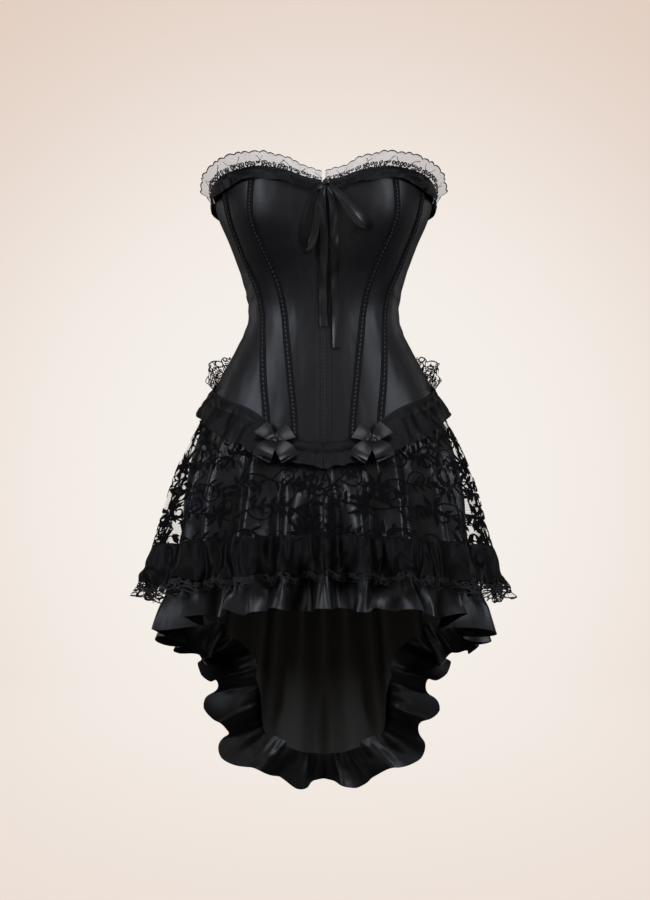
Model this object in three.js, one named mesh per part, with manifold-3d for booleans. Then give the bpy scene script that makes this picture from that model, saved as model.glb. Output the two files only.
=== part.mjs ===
// A strapless corset dress in black satin, flocked net and lace, filled out as when it is worn.
// Millimetres, +Z up. The front faces -Y, the wearer's left is +X, and the origin is the centre of the waist.
import * as THREE from "three";
import { mergeVertices } from "three/addons/utils/BufferGeometryUtils.js";
import Module from "manifold-3d";

// Thickness of each cloth
const coutil = 2.4;
const satin = 1.0;
const net = 1.0;
const ribbon = 1.0;
const tape = 1.2;

// Gap between pieces that are sewn together
const seam = 0.35;

// The wearer's form, level by level, as half widths at the side and depths to the front and the back
const form = [
  { level: -230, side: 176, front: 118, back: 134, cup: 0 },
  { level: -150, side: 166, front: 113, back: 128, cup: 0 },
  { level: -105, side: 155, front: 107, back: 119, cup: 0 },
  { level: -60, side: 132, front: 99, back: 103, cup: 0 },
  { level: -25, side: 114, front: 92, back: 89, cup: 0 },
  { level: 0, side: 107, front: 89, back: 83, cup: 0 },
  { level: 25, side: 109, front: 90, back: 84, cup: 0 },
  { level: 60, side: 118, front: 97, back: 89, cup: 1 },
  { level: 100, side: 133, front: 108, back: 96, cup: 5 },
  { level: 140, side: 150, front: 117, back: 101, cup: 8 },
  { level: 175, side: 157, front: 118, back: 101, cup: 7 },
  { level: 220, side: 160, front: 112, back: 98, cup: 3 },
];
const fullness = 2.2;
const cupAngle = 38;
const cupSpread = 21;

// The corset's edges round the body: its top edge, its hem, how deep the hip frill hangs and how tall the lace is
const edges = [
  { angle: 0, top: 186, hem: -188, frill: 40, lace: 15, lean: 12 },
  { angle: 12, top: 191, hem: -186, frill: 36, lace: 18, lean: 12 },
  { angle: 25, top: 201, hem: -181, frill: 37, lace: 22, lean: 14 },
  { angle: 34, top: 205, hem: -169, frill: 42, lace: 24, lean: 16 },
  { angle: 43, top: 207, hem: -150, frill: 50, lace: 25, lean: 19 },
  { angle: 53, top: 204, hem: -137, frill: 52, lace: 26, lean: 25 },
  { angle: 65, top: 197, hem: -129, frill: 46, lace: 26, lean: 33 },
  { angle: 77, top: 184, hem: -120, frill: 42, lace: 25, lean: 44 },
  { angle: 90, top: 168, hem: -110, frill: 40, lace: 24, lean: 56 },
  { angle: 110, top: 150, hem: -99, frill: 38, lace: 23, lean: 60 },
  { angle: 145, top: 133, hem: -91, frill: 38, lace: 22, lean: 52 },
  { angle: 180, top: 128, hem: -90, frill: 38, lace: 22, lean: 46 },
];

// Where the two front seams run, as distances from the centre line
const frontSeams = [
  { level: -230, princess: 38, sideFront: 78 },
  { level: -150, princess: 41, sideFront: 80 },
  { level: -86, princess: 47, sideFront: 85 },
  { level: -24, princess: 53, sideFront: 86 },
  { level: 6, princess: 56, sideFront: 87 },
  { level: 37, princess: 62, sideFront: 94 },
  { level: 62, princess: 71, sideFront: 105 },
  { level: 89, princess: 83, sideFront: 116 },
  { level: 120, princess: 97, sideFront: 128 },
  { level: 150, princess: 104, sideFront: 137 },
  { level: 215, princess: 99, sideFront: 146 },
];

// Where the two back seams run, as angles round the body
const backSeams = [
  { level: -120, side: 72, sideBack: 134 },
  { level: 0, side: 82, sideBack: 137 },
  { level: 180, side: 92, sideBack: 134 },
];

// How the skirts flare below the corset's hem, how far the satin hangs inside the net, and where each one ends
const flares = [
  { angle: 0, flare: 1.62, inside: 15, satinEnd: -358, netEnd: -318 },
  { angle: 35, flare: 1.66, inside: 17, satinEnd: -361, netEnd: -321 },
  { angle: 60, flare: 1.68, inside: 26, satinEnd: -370, netEnd: -328 },
  { angle: 90, flare: 1.72, inside: 33, satinEnd: -396, netEnd: -337 },
  { angle: 110, flare: 1.66, inside: 28, satinEnd: -415, netEnd: -342 },
  { angle: 125, flare: 1.62, inside: 23, satinEnd: -434, netEnd: -345 },
  { angle: 134, flare: 1.52, inside: 21, satinEnd: -448, netEnd: -346 },
  { angle: 140, flare: 1.46, inside: 19, satinEnd: -466, netEnd: -347 },
  { angle: 144, flare: 1.42, inside: 18, satinEnd: -490, netEnd: -348 },
  { angle: 148, flare: 1.38, inside: 17, satinEnd: -526, netEnd: -348 },
  { angle: 152, flare: 1.35, inside: 17, satinEnd: -566, netEnd: -348 },
  { angle: 156, flare: 1.32, inside: 16, satinEnd: -597, netEnd: -349 },
  { angle: 162, flare: 1.29, inside: 16, satinEnd: -615, netEnd: -349 },
  { angle: 170, flare: 1.27, inside: 15, satinEnd: -627, netEnd: -350 },
  { angle: 180, flare: 1.25, inside: 15, satinEnd: -632, netEnd: -350 },
];

// How far the satin's ruffle reaches and how deep the lobes of its edge are, both as shares of its depth
const ruffleEdge = [
  { angle: 0, reach: 1, lobe: 0.03 },
  { angle: 125, reach: 1, lobe: 0.05 },
  { angle: 142, reach: 1.06, lobe: 0.18 },
  { angle: 151, reach: 1.28, lobe: 0.24 },
  { angle: 155, reach: 1.1, lobe: 0.26 },
  { angle: 159, reach: 0.93, lobe: 0.19 },
  { angle: 165, reach: 1, lobe: 0.12 },
  { angle: 172, reach: 0.92, lobe: 0.16 },
  { angle: 180, reach: 0.86, lobe: 0.18 },
];

// The ribbons of the front bow, as distances across, levels, heights above the corset, widths and turns on edge
const frontBow = [
  [
    { across: -1, level: 181, height: 12, width: 6, turn: 10 },
    { across: -13, level: 172, height: 12, width: 9, turn: 50 },
    { across: -27, level: 143, height: 9, width: 11, turn: 68 },
    { across: -33, level: 112, height: 10, width: 11, turn: 45 },
    { across: -24, level: 93, height: 11, width: 11, turn: 6 },
    { across: -14, level: 112, height: 9, width: 11, turn: -12 },
    { across: -8, level: 148, height: 7, width: 10, turn: -8 },
    { across: 0, level: 180, height: 12, width: 6, turn: 0 },
  ],
  [
    { across: 7, level: 182, height: 12, width: 6, turn: 0 },
    { across: 24, level: 168, height: 12, width: 10, turn: -12 },
    { across: 48, level: 145, height: 14, width: 11, turn: -14 },
    { across: 62, level: 128, height: 12, width: 11, turn: -8 },
    { across: 55, level: 126, height: 7, width: 11, turn: 0 },
    { across: 34, level: 148, height: 5, width: 10, turn: 0 },
    { across: 8, level: 178, height: 12, width: 6, turn: 0 },
  ],
  [
    { across: 1, level: 182, height: 12, width: 6, turn: 0 },
    { across: -2, level: 158, height: 9, width: 10, turn: 14 },
    { across: 1, level: 110, height: 5, width: 11, turn: -10 },
    { across: -1, level: 60, height: 4.5, width: 11, turn: 8 },
    { across: -1, level: 20, height: 4, width: 11, turn: -4 },
    { across: 0, level: -16, height: 4, width: 11, turn: 0 },
  ],
  [
    { across: 7, level: 181, height: 12, width: 6, turn: 0 },
    { across: 13, level: 150, height: 6, width: 10, turn: -14 },
    { across: 15, level: 115, height: 5, width: 11, turn: 10 },
    { across: 18, level: 88, height: 8, width: 9, turn: 40 },
    { across: 16, level: 60, height: 5, width: 11, turn: 6 },
    { across: 17, level: 10, height: 4.5, width: 11, turn: -8 },
    { across: 18, level: -46, height: 4, width: 11, turn: 0 },
  ],
];
const frontKnot = { across: 4, level: 184, height: 12.5, wide: 6.5, tall: 5.5, deep: 4.5 };

// The ribbons of a hip bow, measured from its knot
const hipBow = [
  [
    { across: -1, level: -1, height: 1, width: 7, turn: 0 },
    { across: -8, level: -10, height: 7, width: 20, turn: 0 },
    { across: -16, level: -22, height: 9, width: 27, turn: 0 },
    { across: -20, level: -29, height: 5, width: 27, turn: 0 },
    { across: -15, level: -21, height: 0, width: 25, turn: 0 },
    { across: -1, level: -2, height: -1, width: 7, turn: 0 },
  ],
  [
    { across: 1, level: -1, height: 1, width: 7, turn: 0 },
    { across: 7, level: -10, height: 8, width: 20, turn: 0 },
    { across: 15, level: -22, height: 10, width: 27, turn: 0 },
    { across: 18, level: -28, height: 5, width: 27, turn: 0 },
    { across: 14, level: -21, height: 0, width: 25, turn: 0 },
    { across: 1, level: -2, height: -1, width: 7, turn: 0 },
  ],
  [
    { across: -1, level: 1, height: 0, width: 7, turn: 0 },
    { across: -9, level: 7, height: 3, width: 17, turn: 0 },
    { across: -21, level: 15, height: 4, width: 24, turn: 0 },
  ],
  [
    { across: 1, level: 1, height: 0, width: 7, turn: 0 },
    { across: 7, level: 9, height: 3, width: 17, turn: 0 },
    { across: 15, level: 21, height: 3, width: 22, turn: 0 },
  ],
];
const hipKnot = { across: 0, level: 0, height: 1, wide: 6, tall: 6, deep: 5 };
const hipBowAngle = 33;
const hipBowLevel = -181;
const hipBowHeight = 10.2;

// The skirts' folds and the seams between their panels
const flarePower = 0.717;
const folds = 18;
const foldDepth = 12;
const foldGrowth = 150;
const skirtHeading = 14;
const hemTuck = 3;
const hipEase = 2;
const satinEase = 3;
const frontSeamAngle = 52;
const backSeamAngle = 128;
const netColumn = 4;
const satinColumn = 4;

// Trimmings
const neckFrillDepth = 17;
const neckFrillWaves = 8;
const neckFrillStand = 4;
const neckFrillWaveDepth = 3;
const neckLaceWaves = 12;
const neckLaceWaveDepth = 3.4;
const hipFrillHeading = 10;
const hipFrillWaves = 8;
const hipFrillStand = 3.5;
const hipFrillWaveDepth = 3;
const hipLaceHeight = 32;
const hipLaceLean = 22;
const hipLaceStart = 80;
const hipLaceWaves = 5;
const hipLaceWaveDepth = 6;
const stripGap = 0.94;
const ruffleDepth = 54;
const ruffleWaves = 12;
const ruffleWaveDepth = 16;
const ruffleSpread = 6;
const netFrillDepth = 42;
const netLaceDepth = 22;
const netFrillWaves = 14;
const netFrillWaveDepth = 7;
const netFrillSpread = 1;
const tapeWidth = 10;
const tapeInset = 3;
const placketWidth = 11;
const bodiceRows = 10;

const degree = Math.PI / 180;
const clamp = THREE.MathUtils.clamp;
const lerp = THREE.MathUtils.lerp;
const smoothstep = THREE.MathUtils.smoothstep;

// A smooth curve through one column of a table, against the table's key column
function column(table, key, name) {
  const at = table.map((row) => row[key]);
  const value = table.map((row) => row[name]);
  const last = at.length - 1;
  const slope = at.map((_, i) => {
    const before = Math.max(i - 1, 0);
    const after = Math.min(i + 1, last);
    return (value[after] - value[before]) / (at[after] - at[before]);
  });
  return (where) => {
    const x = clamp(where, at[0], at[last]);
    const i = clamp(at.findIndex((a) => a > x) - 1, 0, last - 1);
    const j = x >= at[last] ? last - 1 : i;
    const step = at[j + 1] - at[j];
    const t = (x - at[j]) / step;
    return (
      value[j] * (1 + 2 * t) * (1 - t) ** 2 +
      slope[j] * step * t * (1 - t) ** 2 +
      value[j + 1] * t * t * (3 - 2 * t) -
      slope[j + 1] * step * t * t * (1 - t)
    );
  };
}

const sideReach = column(form, "level", "side");
const frontReach = column(form, "level", "front");
const backReach = column(form, "level", "back");
const cupRise = column(form, "level", "cup");
const edge = (name) => {
  const curve = column(edges, "angle", name);
  return (angle) => curve(Math.abs(angle));
};
const topEdge = edge("top");
const hemEdge = edge("hem");
const frillDrop = edge("frill");
const laceHeight = edge("lace");
const laceLean = edge("lean");
const flareOf = (name) => {
  const curve = column(flares, "angle", name);
  return (angle) => curve(Math.abs(angle));
};
const flare = flareOf("flare");
const inside = flareOf("inside");
const satinEnd = flareOf("satinEnd");
const netEnd = flareOf("netEnd");

const place = (angle, radius, level) =>
  new THREE.Vector3(radius * Math.sin(angle * degree), -radius * Math.cos(angle * degree), level);

// Radius of the corset's outer face at an angle from the front and a level
function corsetRadius(angle, level) {
  const around = Math.abs(angle);
  const across = Math.abs(Math.sin(around * degree)) / sideReach(level);
  const deep = around < 90 ? frontReach(level) : backReach(level);
  const along = Math.abs(Math.cos(around * degree)) / deep;
  const oval = (across ** fullness + along ** fullness) ** (-1 / fullness);
  return oval + cupRise(level) * Math.exp(-(((around - cupAngle) / cupSpread) ** 2));
}

// Angle at which the corset's outer face is a given distance from the centre line
function angleAcross(distance, level) {
  let low = 0;
  let high = 90;
  for (let i = 0; i < 30; i += 1) {
    const middle = (low + high) / 2;
    if (corsetRadius(middle, level) * Math.sin(middle * degree) < distance) low = middle;
    else high = middle;
  }
  return low;
}

const princessLine = column(frontSeams, "level", "princess");
const sideFrontLine = column(frontSeams, "level", "sideFront");
const seamLines = {
  front: () => 0,
  princess: (level) => angleAcross(princessLine(level), level),
  sideFront: (level) => angleAcross(sideFrontLine(level), level),
  side: column(backSeams, "level", "side"),
  sideBack: column(backSeams, "level", "sideBack"),
  back: () => 180,
};

// Folds of both skirts: a ridge at the centre front and one every 20 degrees, a little uneven
const foldWave = (angle) => {
  const around = Math.abs(angle);
  const phase = folds * around * degree + 0.5 * Math.sin(3 * around * degree);
  return Math.cos(phase) * (0.84 + 0.16 * Math.cos(5 * around * degree));
};

// Radius of the net overskirt's outer face: inside the corset above its hem, then flaring with folds
function netRadius(angle, level) {
  const hem = hemEdge(angle);
  const drop = Math.max(hem - hemTuck - level, 0);
  const start = corsetRadius(angle, Math.max(level, hem)) - coutil - hipEase;
  const ridge = foldDepth * smoothstep(drop, 0, foldGrowth) * foldWave(angle);
  return start + flare(angle) * drop ** flarePower + ridge;
}

// Radius of the satin skirt's outer face, inside the net
function satinRadius(angle, level) {
  const drop = Math.max(hemEdge(angle) - hemTuck - level, 0);
  const gap = net + 2 * seam + satinEase * smoothstep(drop, 0, 16) + inside(angle) * smoothstep(drop, 20, 230);
  return netRadius(angle, level) - gap;
}

// Level of a row of either skirt: -1 is its top edge, 0 the corset's hem, 1 the net's edge and 2 the satin's edge
function skirtLevel(angle, row) {
  const hem = hemEdge(angle);
  if (row < 0) return hem - hemTuck - (skirtHeading + hemTuck) * row;
  if (row <= 1) return lerp(hem - hemTuck, netEnd(angle), row);
  return lerp(netEnd(angle), satinEnd(angle), row - 1);
}

const steps = (count) => Array.from({ length: count + 1 }, (_, i) => i / count);

// A point of a round surface, moved out along the surface's own slope
function raised(radiusAt, angle, level, height) {
  const step = 0.5;
  const side = (turn) => place(angle + turn, radiusAt(angle + turn, level), level);
  const rise = (up) => place(angle, radiusAt(angle, level + up), level + up);
  const normal = side(step).sub(side(-step)).cross(rise(step).sub(rise(-step))).normalize();
  return place(angle, radiusAt(angle, level), level).addScaledVector(normal, height);
}

// The face that lies one thickness behind an outer face
const behind = (outer, thickness) => (u, v) => {
  const e = 1e-3;
  const along = outer(u + e, v).sub(outer(u - e, v));
  const fall = outer(u, v + e).sub(outer(u, v - e));
  return outer(u, v).addScaledVector(along.cross(fall).normalize(), thickness);
};

// A closed wall of cloth between an outer and an inner face, where u runs across and v runs down.
// open(i, j) leaves a cell out, as a hole in lace.
function wall(outer, inner, across, down, open = () => false) {
  const faceOf = (at) => across.flatMap((u) => down.map((v) => at(u, v)));
  const points = [...faceOf(outer), ...faceOf(inner)];
  const rows = down.length;
  const cells = across.length - 1;
  const layers = rows - 1;
  const shift = points.length / 2;
  const corner = (i, j) => i * rows + j;
  const solid = (i, j) => i >= 0 && j >= 0 && i < cells && j < layers && !open(i, j);
  const faces = [];
  const quad = (a, b, c, d) => faces.push(a, b, c, a, c, d);
  for (let i = 0; i < cells; i += 1) {
    for (let j = 0; j < layers; j += 1) {
      if (!solid(i, j)) continue;
      const a = corner(i, j);
      const b = corner(i + 1, j);
      const c = corner(i + 1, j + 1);
      const d = corner(i, j + 1);
      quad(a, d, c, b);
      quad(a + shift, b + shift, c + shift, d + shift);
      if (!solid(i, j - 1)) quad(a, b, b + shift, a + shift);
      if (!solid(i, j + 1)) quad(c, d, d + shift, c + shift);
      if (!solid(i - 1, j)) quad(d, a, a + shift, d + shift);
      if (!solid(i + 1, j)) quad(b, c, c + shift, b + shift);
    }
  }
  const geometry = new THREE.BufferGeometry();
  const all = points.flatMap((p) => p.toArray());
  geometry.setAttribute("position", new THREE.Float32BufferAttribute(all, 3));
  geometry.setIndex(faces);
  return facingOut(geometry);
}

const cloth = (outer, across, down, thickness, open) =>
  wall(outer, behind(outer, thickness), across, down, open);

// The same geometry with its faces turned to point outwards
function facingOut(geometry) {
  const position = geometry.getAttribute("position");
  const index = Array.from(geometry.index.array);
  const corners = [0, 1, 2].map(() => new THREE.Vector3());
  let volume = 0;
  for (let i = 0; i < index.length; i += 3) {
    corners.forEach((c, k) => c.fromBufferAttribute(position, index[i + k]));
    volume += corners[0].dot(corners[1].clone().cross(corners[2]));
  }
  if (volume < 0) index.reverse();
  geometry.setIndex(index);
  geometry.computeVertexNormals();
  return geometry;
}

const mirrored = (geometry) => facingOut(geometry.clone().scale(-1, 1, 1));

const fabrics = {
  panelSatin: { color: 0x1b1b1f, roughness: 0.42 },
  skirtSatin: { color: 0x17171a, roughness: 0.35 },
  ribbonSatin: { color: 0x26262b, roughness: 0.3 },
  braid: { color: 0x101012, roughness: 0.75 },
  chiffon: { color: 0x16161a, roughness: 0.7 },
  flockedNet: { color: 0x1c1c1f, roughness: 0.85 },
  lace: { color: 0x3a3a3c, roughness: 0.8 },
};

const manifold = await Module();
manifold.setup();
const dress = new THREE.Group();

function sew(name, geometry, fabric) {
  const material = new THREE.MeshStandardMaterial({ metalness: 0, ...fabrics[fabric] });
  const mesh = new THREE.Mesh(geometry, material);
  mesh.name = name;
  dress.add(mesh);
}

// A left piece and its mirror image on the right
function sewPair(name, geometry, fabric) {
  sew(name + "_left", geometry, fabric);
  sew(name + "_right", mirrored(geometry), fabric);
}

// A line down the corset, some millimetres round from a seam
const beside = (line, millimetres) => (level) => {
  const angle = line(level);
  return angle + millimetres / corsetRadius(angle, level) / degree;
};

// A point of the corset on a line, where v runs from the top edge to the hem
function onCorset(line, v, height) {
  let angle = line(0);
  let level = 0;
  for (let i = 0; i < 24; i += 1) {
    level = lerp(topEdge(angle), hemEdge(angle), v);
    angle = line(level);
  }
  return raised(corsetRadius, angle, level, height);
}

// The same point on the corset's flat faces, which run from row to row
function onRows(line, v, height) {
  const row = clamp(Math.floor(v * bodiceRows), 0, bodiceRows - 1);
  const upper = onCorset(line, row / bodiceRows, height);
  const lower = onCorset(line, (row + 1) / bodiceRows, height);
  return upper.lerp(lower, v * bodiceRows - row);
}

function corsetPanel(from, fromTape, to, toTape, plain) {
  const first = beside(seamLines[from], fromTape);
  const last = beside(seamLines[to], -toTape);
  const between = steps(plain).map((t) => (level) => lerp(first(level), last(level), t));
  const lines = [beside(seamLines[from], seam / 2), ...between, beside(seamLines[to], -seam / 2)];
  const columns = lines.length - 1;
  const face = (height) => (u, v) => onCorset(lines[Math.round(u * columns)], v, height);
  return wall(face(0), face(-coutil), steps(columns), steps(bodiceRows));
}

// A tape that covers a seam, made from the points of the panels beneath it
function tapeOver(seamName, offsets) {
  const lines = offsets.map((offset) => beside(seamLines[seamName], offset));
  const inner = steps(bodiceRows).slice(1, -1);
  const middle = seamLines[seamName](hemEdge(0));
  const length = topEdge(middle) - hemEdge(middle);
  const rows = [tapeInset / length, ...inner, 1 - (hipFrillHeading + tapeInset) / length];
  const face = (height) => (u, v) => onRows(lines[Math.round(u * (lines.length - 1))], v, height);
  return wall(face(seam + tape), face(seam), steps(lines.length - 1), rows);
}

function makeCorset() {
  const half = tapeWidth / 2;
  sewPair("corset_front", corsetPanel("front", placketWidth, "princess", half, 3), "panelSatin");
  sewPair("corset_side_front", corsetPanel("princess", half, "sideFront", half, 2), "panelSatin");
  sewPair("corset_side", corsetPanel("sideFront", half, "side", half, 3), "panelSatin");
  sewPair("corset_side_back", corsetPanel("side", half, "sideBack", half, 5), "panelSatin");
  sewPair("corset_back", corsetPanel("sideBack", half, "back", half, 3), "panelSatin");
  sewPair("tape_princess", tapeOver("princess", [-half, 0, half]), "braid");
  sewPair("tape_side_front", tapeOver("sideFront", [-half, 0, half]), "braid");
  sewPair("tape_side_back", tapeOver("sideBack", [-half, 0, half]), "braid");
  sewPair("placket_front", tapeOver("front", [seam / 2, placketWidth]), "braid");
  sew("tape_centre_back", tapeOver("back", [-half, 0, half]), "braid");
}

// Waves along a gathered strip, a little uneven so that no two are alike
const gather = (u, waves, start) => Math.sin(2 * Math.PI * waves * u + start + 0.6 * Math.sin(7 * u + start));

function makeNeckTrim() {
  const frill = (u, v) => {
    const angle = lerp(1.2, 179.5, u);
    const level = topEdge(angle) - seam - neckFrillDepth * v * (1 + 0.15 * gather(u, 5, 2));
    const calm = smoothstep(angle, 5, 35);
    const stand = 2 * seam + net + tape + neckFrillStand * smoothstep(v, 0, 0.4);
    const wave = v * neckFrillWaveDepth * lerp(0.2, 1, calm) * gather(u, neckFrillWaves, 0);
    return raised(corsetRadius, angle, level, stand + wave);
  };
  sewPair("neck_frill", cloth(frill, steps(34), [0, 0.4, 1], net), "chiffon");
  const lace = (u, v) => {
    const angle = lerp(1.2, 179.8, u);
    const top = topEdge(angle);
    const lean = laceLean(angle) * degree;
    const up = laceHeight(angle) * (1 - v);
    const wave = neckLaceWaveDepth * (1 - v) * gather(u, neckLaceWaves, 1);
    const base = corsetRadius(angle, top) - coutil / 2 + net / 2;
    const radius = base + up * Math.sin(lean) + wave * Math.cos(lean);
    const foot = top + 2 * seam + net * Math.sin(lean);
    return place(angle, radius, foot + up * Math.cos(lean) - wave * Math.sin(lean));
  };
  sewPair("neck_lace", cloth(lace, steps(50), [0, 1], net), "lace");
}

// Radius that clears both the corset and the net overskirt
const coverRadius = (angle, level) =>
  Math.max(corsetRadius(angle, Math.max(level, hemEdge(angle))), netRadius(angle, level));

function makeHipTrim() {
  const frill = (u, v) => {
    const angle = lerp(0.2, 179.8, u);
    const level = hemEdge(angle) + hipFrillHeading - frillDrop(angle) * v;
    const calm = smoothstep(angle, 38, 60);
    const stand = 2 * seam + net + hipFrillStand * smoothstep(v, 0, 0.35) + lerp(1.5, 3, calm) * v;
    const wave = v * v * hipFrillWaveDepth * lerp(0.15, 1, calm) * gather(u, hipFrillWaves, 2.2);
    return raised(coverRadius, angle, level, stand + wave);
  };
  sewPair("hip_frill", cloth(frill, steps(38), [0, 0.4, 1], net), "chiffon");
  const lace = (u, v) => {
    const angle = lerp(hipLaceStart, 179.8, u);
    const foot = hemEdge(angle) + hipFrillHeading + 2 * seam;
    const up = hipLaceHeight * (1 - v);
    const lean = hipLaceLean * degree;
    const wave = hipLaceWaveDepth * (1 - v) * gather(u, hipLaceWaves, 0.4);
    const level = foot + up * Math.cos(lean) - wave * Math.sin(lean);
    const radius = corsetRadius(angle, foot) + 3 * seam + net + up * Math.sin(lean) + wave * Math.cos(lean);
    return place(angle, radius, level);
  };
  sewPair("hip_lace", cloth(lace, steps(28), [0, 1], net), "lace");
}

// The four panels of a skirt between their seams
function makeSkirt(name, radiusAt, rows, column, thickness, fabric) {
  const panel = (from, to) => {
    const margin = seam / 200 / degree;
    const at = (u, v) => {
      const angle = lerp(from + margin, to - margin, u);
      const around = angle > 180 ? angle - 360 : angle;
      const row = lerp(rows[0], rows.at(-1), v);
      const level = skirtLevel(around, row);
      return place(angle, radiusAt(around, level), level);
    };
    const down = rows.map((row) => (row - rows[0]) / (rows.at(-1) - rows[0]));
    return cloth(at, steps(Math.round((to - from) / column)), down, thickness);
  };
  sew(name + "_front", panel(-frontSeamAngle, frontSeamAngle), fabric);
  sewPair(name + "_side", panel(frontSeamAngle, backSeamAngle), fabric);
  sew(name + "_back", panel(backSeamAngle, 360 - backSeamAngle), fabric);
}

// A strip gathered along a skirt's lower edge: it carries on the cloth's slope, square to the edge.
// The answer gives its point for an angle round the body and a distance down the strip.
function gatheredStrip(radiusAt, endAt, waves, waveDepth, spread, depth, reachAt) {
  const calm = (angle, level) =>
    place(angle, radiusAt(angle, level) - foldDepth * foldWave(angle), level);
  const samples = 360;
  const lengths = [0];
  for (let i = 1; i <= samples; i += 1) {
    const before = (180 * (i - 1)) / samples;
    const after = (180 * i) / samples;
    const step = calm(before, endAt(before)).distanceTo(calm(after, endAt(after)));
    lengths.push(lengths[i - 1] + step);
  }
  const travelled = (angle) => {
    const at = (clamp(angle, 0, 180) / 180) * samples;
    const i = Math.min(Math.floor(at), samples - 1);
    return lerp(lengths[i], lengths[i + 1], at - i) / lengths[samples];
  };
  return (angle, distance) => {
    const level = endAt(angle);
    const along = calm(angle + 2, endAt(angle + 2)).sub(calm(angle - 2, endAt(angle - 2))).normalize();
    const fall = calm(angle, level - 4).sub(calm(angle, level + 4)).normalize();
    const normal = fall.clone().cross(along).normalize();
    const down = along.clone().cross(normal).normalize();
    const share = distance / depth;
    const turn = 2 * Math.PI * waves * travelled(angle);
    return place(angle, radiusAt(angle, level), level)
      .addScaledVector(down, distance * reachAt(angle, turn) + stripGap)
      .addScaledVector(normal, Math.sin(turn) * waveDepth * share + spread * share)
      .addScaledVector(along, Math.sin(2 * turn) * waveDepth * 0.22 * share);
  };
}

function makeSkirts() {
  makeSkirt("satin_skirt", satinRadius, [-1, 0, 0.12, 0.4, 1, 2], satinColumn, satin, "skirtSatin");
  makeSkirt("net_overskirt", netRadius, [-1, 0, 0.12, 0.4, 1], netColumn, net, "flockedNet");
  const reach = column(ruffleEdge, "angle", "reach");
  const lobe = column(ruffleEdge, "angle", "lobe");
  const ruffle = gatheredStrip(
    satinRadius,
    satinEnd,
    ruffleWaves,
    ruffleWaveDepth,
    ruffleSpread,
    ruffleDepth,
    (angle, turn) => reach(angle) - lobe(angle) * Math.cos(turn),
  );
  const satinStrip = (u, v) => ruffle(lerp(0.1, 179.9, u), v * ruffleDepth);
  sewPair("satin_ruffle", cloth(satinStrip, steps(80), [0, 0.45, 1], satin), "skirtSatin");
  const frill = gatheredStrip(
    netRadius,
    netEnd,
    netFrillWaves,
    netFrillWaveDepth,
    netFrillSpread,
    netFrillDepth,
    () => 1,
  );
  const netStrip = (u, v) => frill(lerp(0.1, 179.7, u), v * netFrillDepth);
  sewPair("net_frill", cloth(netStrip, steps(52), [0, 1], net), "chiffon");
  const laceAt = (u, v) => {
    const angle = lerp(0.1, 179.7, u);
    const wide = netLaceDepth * lerp(0.55, 1, smoothstep(angle, 30, 75));
    return frill(angle, netFrillDepth + seam + wide * v);
  };
  const eyelet = (i, j) => j === 1 && i % 3 === 1;
  sewPair("net_lace", cloth(laceAt, steps(52), [0, 0.2, 0.72, 1], net, eyelet), "lace");
}

// A ribbon through the rows of a table, where spot(across, level, height) gives a point of the dress
function ribbonAlong(spot, table, count) {
  const rows = table.map((row, i) => ({ ...row, share: i / (table.length - 1) }));
  const along = (name) => column(rows, "share", name);
  const [across, level, height, width, turn] = ["across", "level", "height", "width", "turn"].map(along);
  const middle = (t) => spot(across(t), level(t), height(t));
  const at = (u, v) => {
    const t = clamp(u, 0.002, 0.998);
    const run = middle(t + 0.002).sub(middle(t - 0.002)).normalize();
    const up = spot(across(t), level(t), height(t) + 1).sub(middle(t));
    const side = run.clone().cross(up).normalize().applyAxisAngle(run, turn(t) * degree);
    return middle(u).addScaledVector(side, width(t) * (v - 0.5));
  };
  return cloth(at, steps(count), [0, 1], ribbon);
}

// One closed body made of overlapping ones
function joined(geometries) {
  const bodies = geometries.map((geometry) => {
    const plain = new THREE.BufferGeometry();
    plain.setAttribute("position", geometry.getAttribute("position"));
    plain.setIndex(geometry.index);
    const merged = mergeVertices(plain, 1e-3);
    return new manifold.Manifold(
      new manifold.Mesh({
        numProp: 3,
        vertProperties: merged.getAttribute("position").array,
        triVerts: new Uint32Array(merged.index.array),
      }),
    );
  });
  const whole = manifold.Manifold.union(bodies).simplify(0.01).getMesh();
  const geometry = new THREE.BufferGeometry();
  geometry.setAttribute("position", new THREE.Float32BufferAttribute(whole.vertProperties, whole.numProp));
  geometry.setIndex(Array.from(whole.triVerts));
  return facingOut(geometry);
}

function bow(spot, ribbons, knot, count) {
  const ball = new THREE.IcosahedronGeometry(1, 1).scale(knot.wide, knot.deep, knot.tall);
  const centre = spot(knot.across, knot.level, knot.height);
  ball.deleteAttribute("normal");
  ball.deleteAttribute("uv");
  const lump = mergeVertices(ball.translate(centre.x, centre.y, centre.z), 1e-3);
  return joined([lump, ...ribbons.map((table) => ribbonAlong(spot, table, count))]);
}

function makeBows() {
  const onFront = (across, level, height) => {
    const angle = Math.sign(across) * angleAcross(Math.abs(across), level);
    return raised(corsetRadius, angle, level, height);
  };
  sew("front_bow", bow(onFront, frontBow, frontKnot, 14), "ribbonSatin");
  const centre = raised(coverRadius, hipBowAngle, hipBowLevel, hipBowHeight);
  const out = raised(coverRadius, hipBowAngle, hipBowLevel, hipBowHeight + 1).sub(centre);
  const right = new THREE.Vector3(0, 0, 1).cross(out).negate().normalize();
  const up = out.clone().cross(right).negate();
  const onHip = (across, level, height) =>
    centre.clone().addScaledVector(right, across).addScaledVector(up, level).addScaledVector(out, height);
  sewPair("hip_bow", bow(onHip, hipBow, hipKnot, 8), "ribbonSatin");
}

makeCorset();
makeNeckTrim();
makeHipTrim();
makeSkirts();
makeBows();

export default dress;
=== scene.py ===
# A strapless corset dress in black satin, flocked net and lace, filled out as when it is worn.
# Lengths of the dress are in millimetres until a piece is made, and Blender's are in metres.
# The front faces -Y, the wearer's left is +X, +Z is up, and the origin is the centre of the waist.

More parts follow.
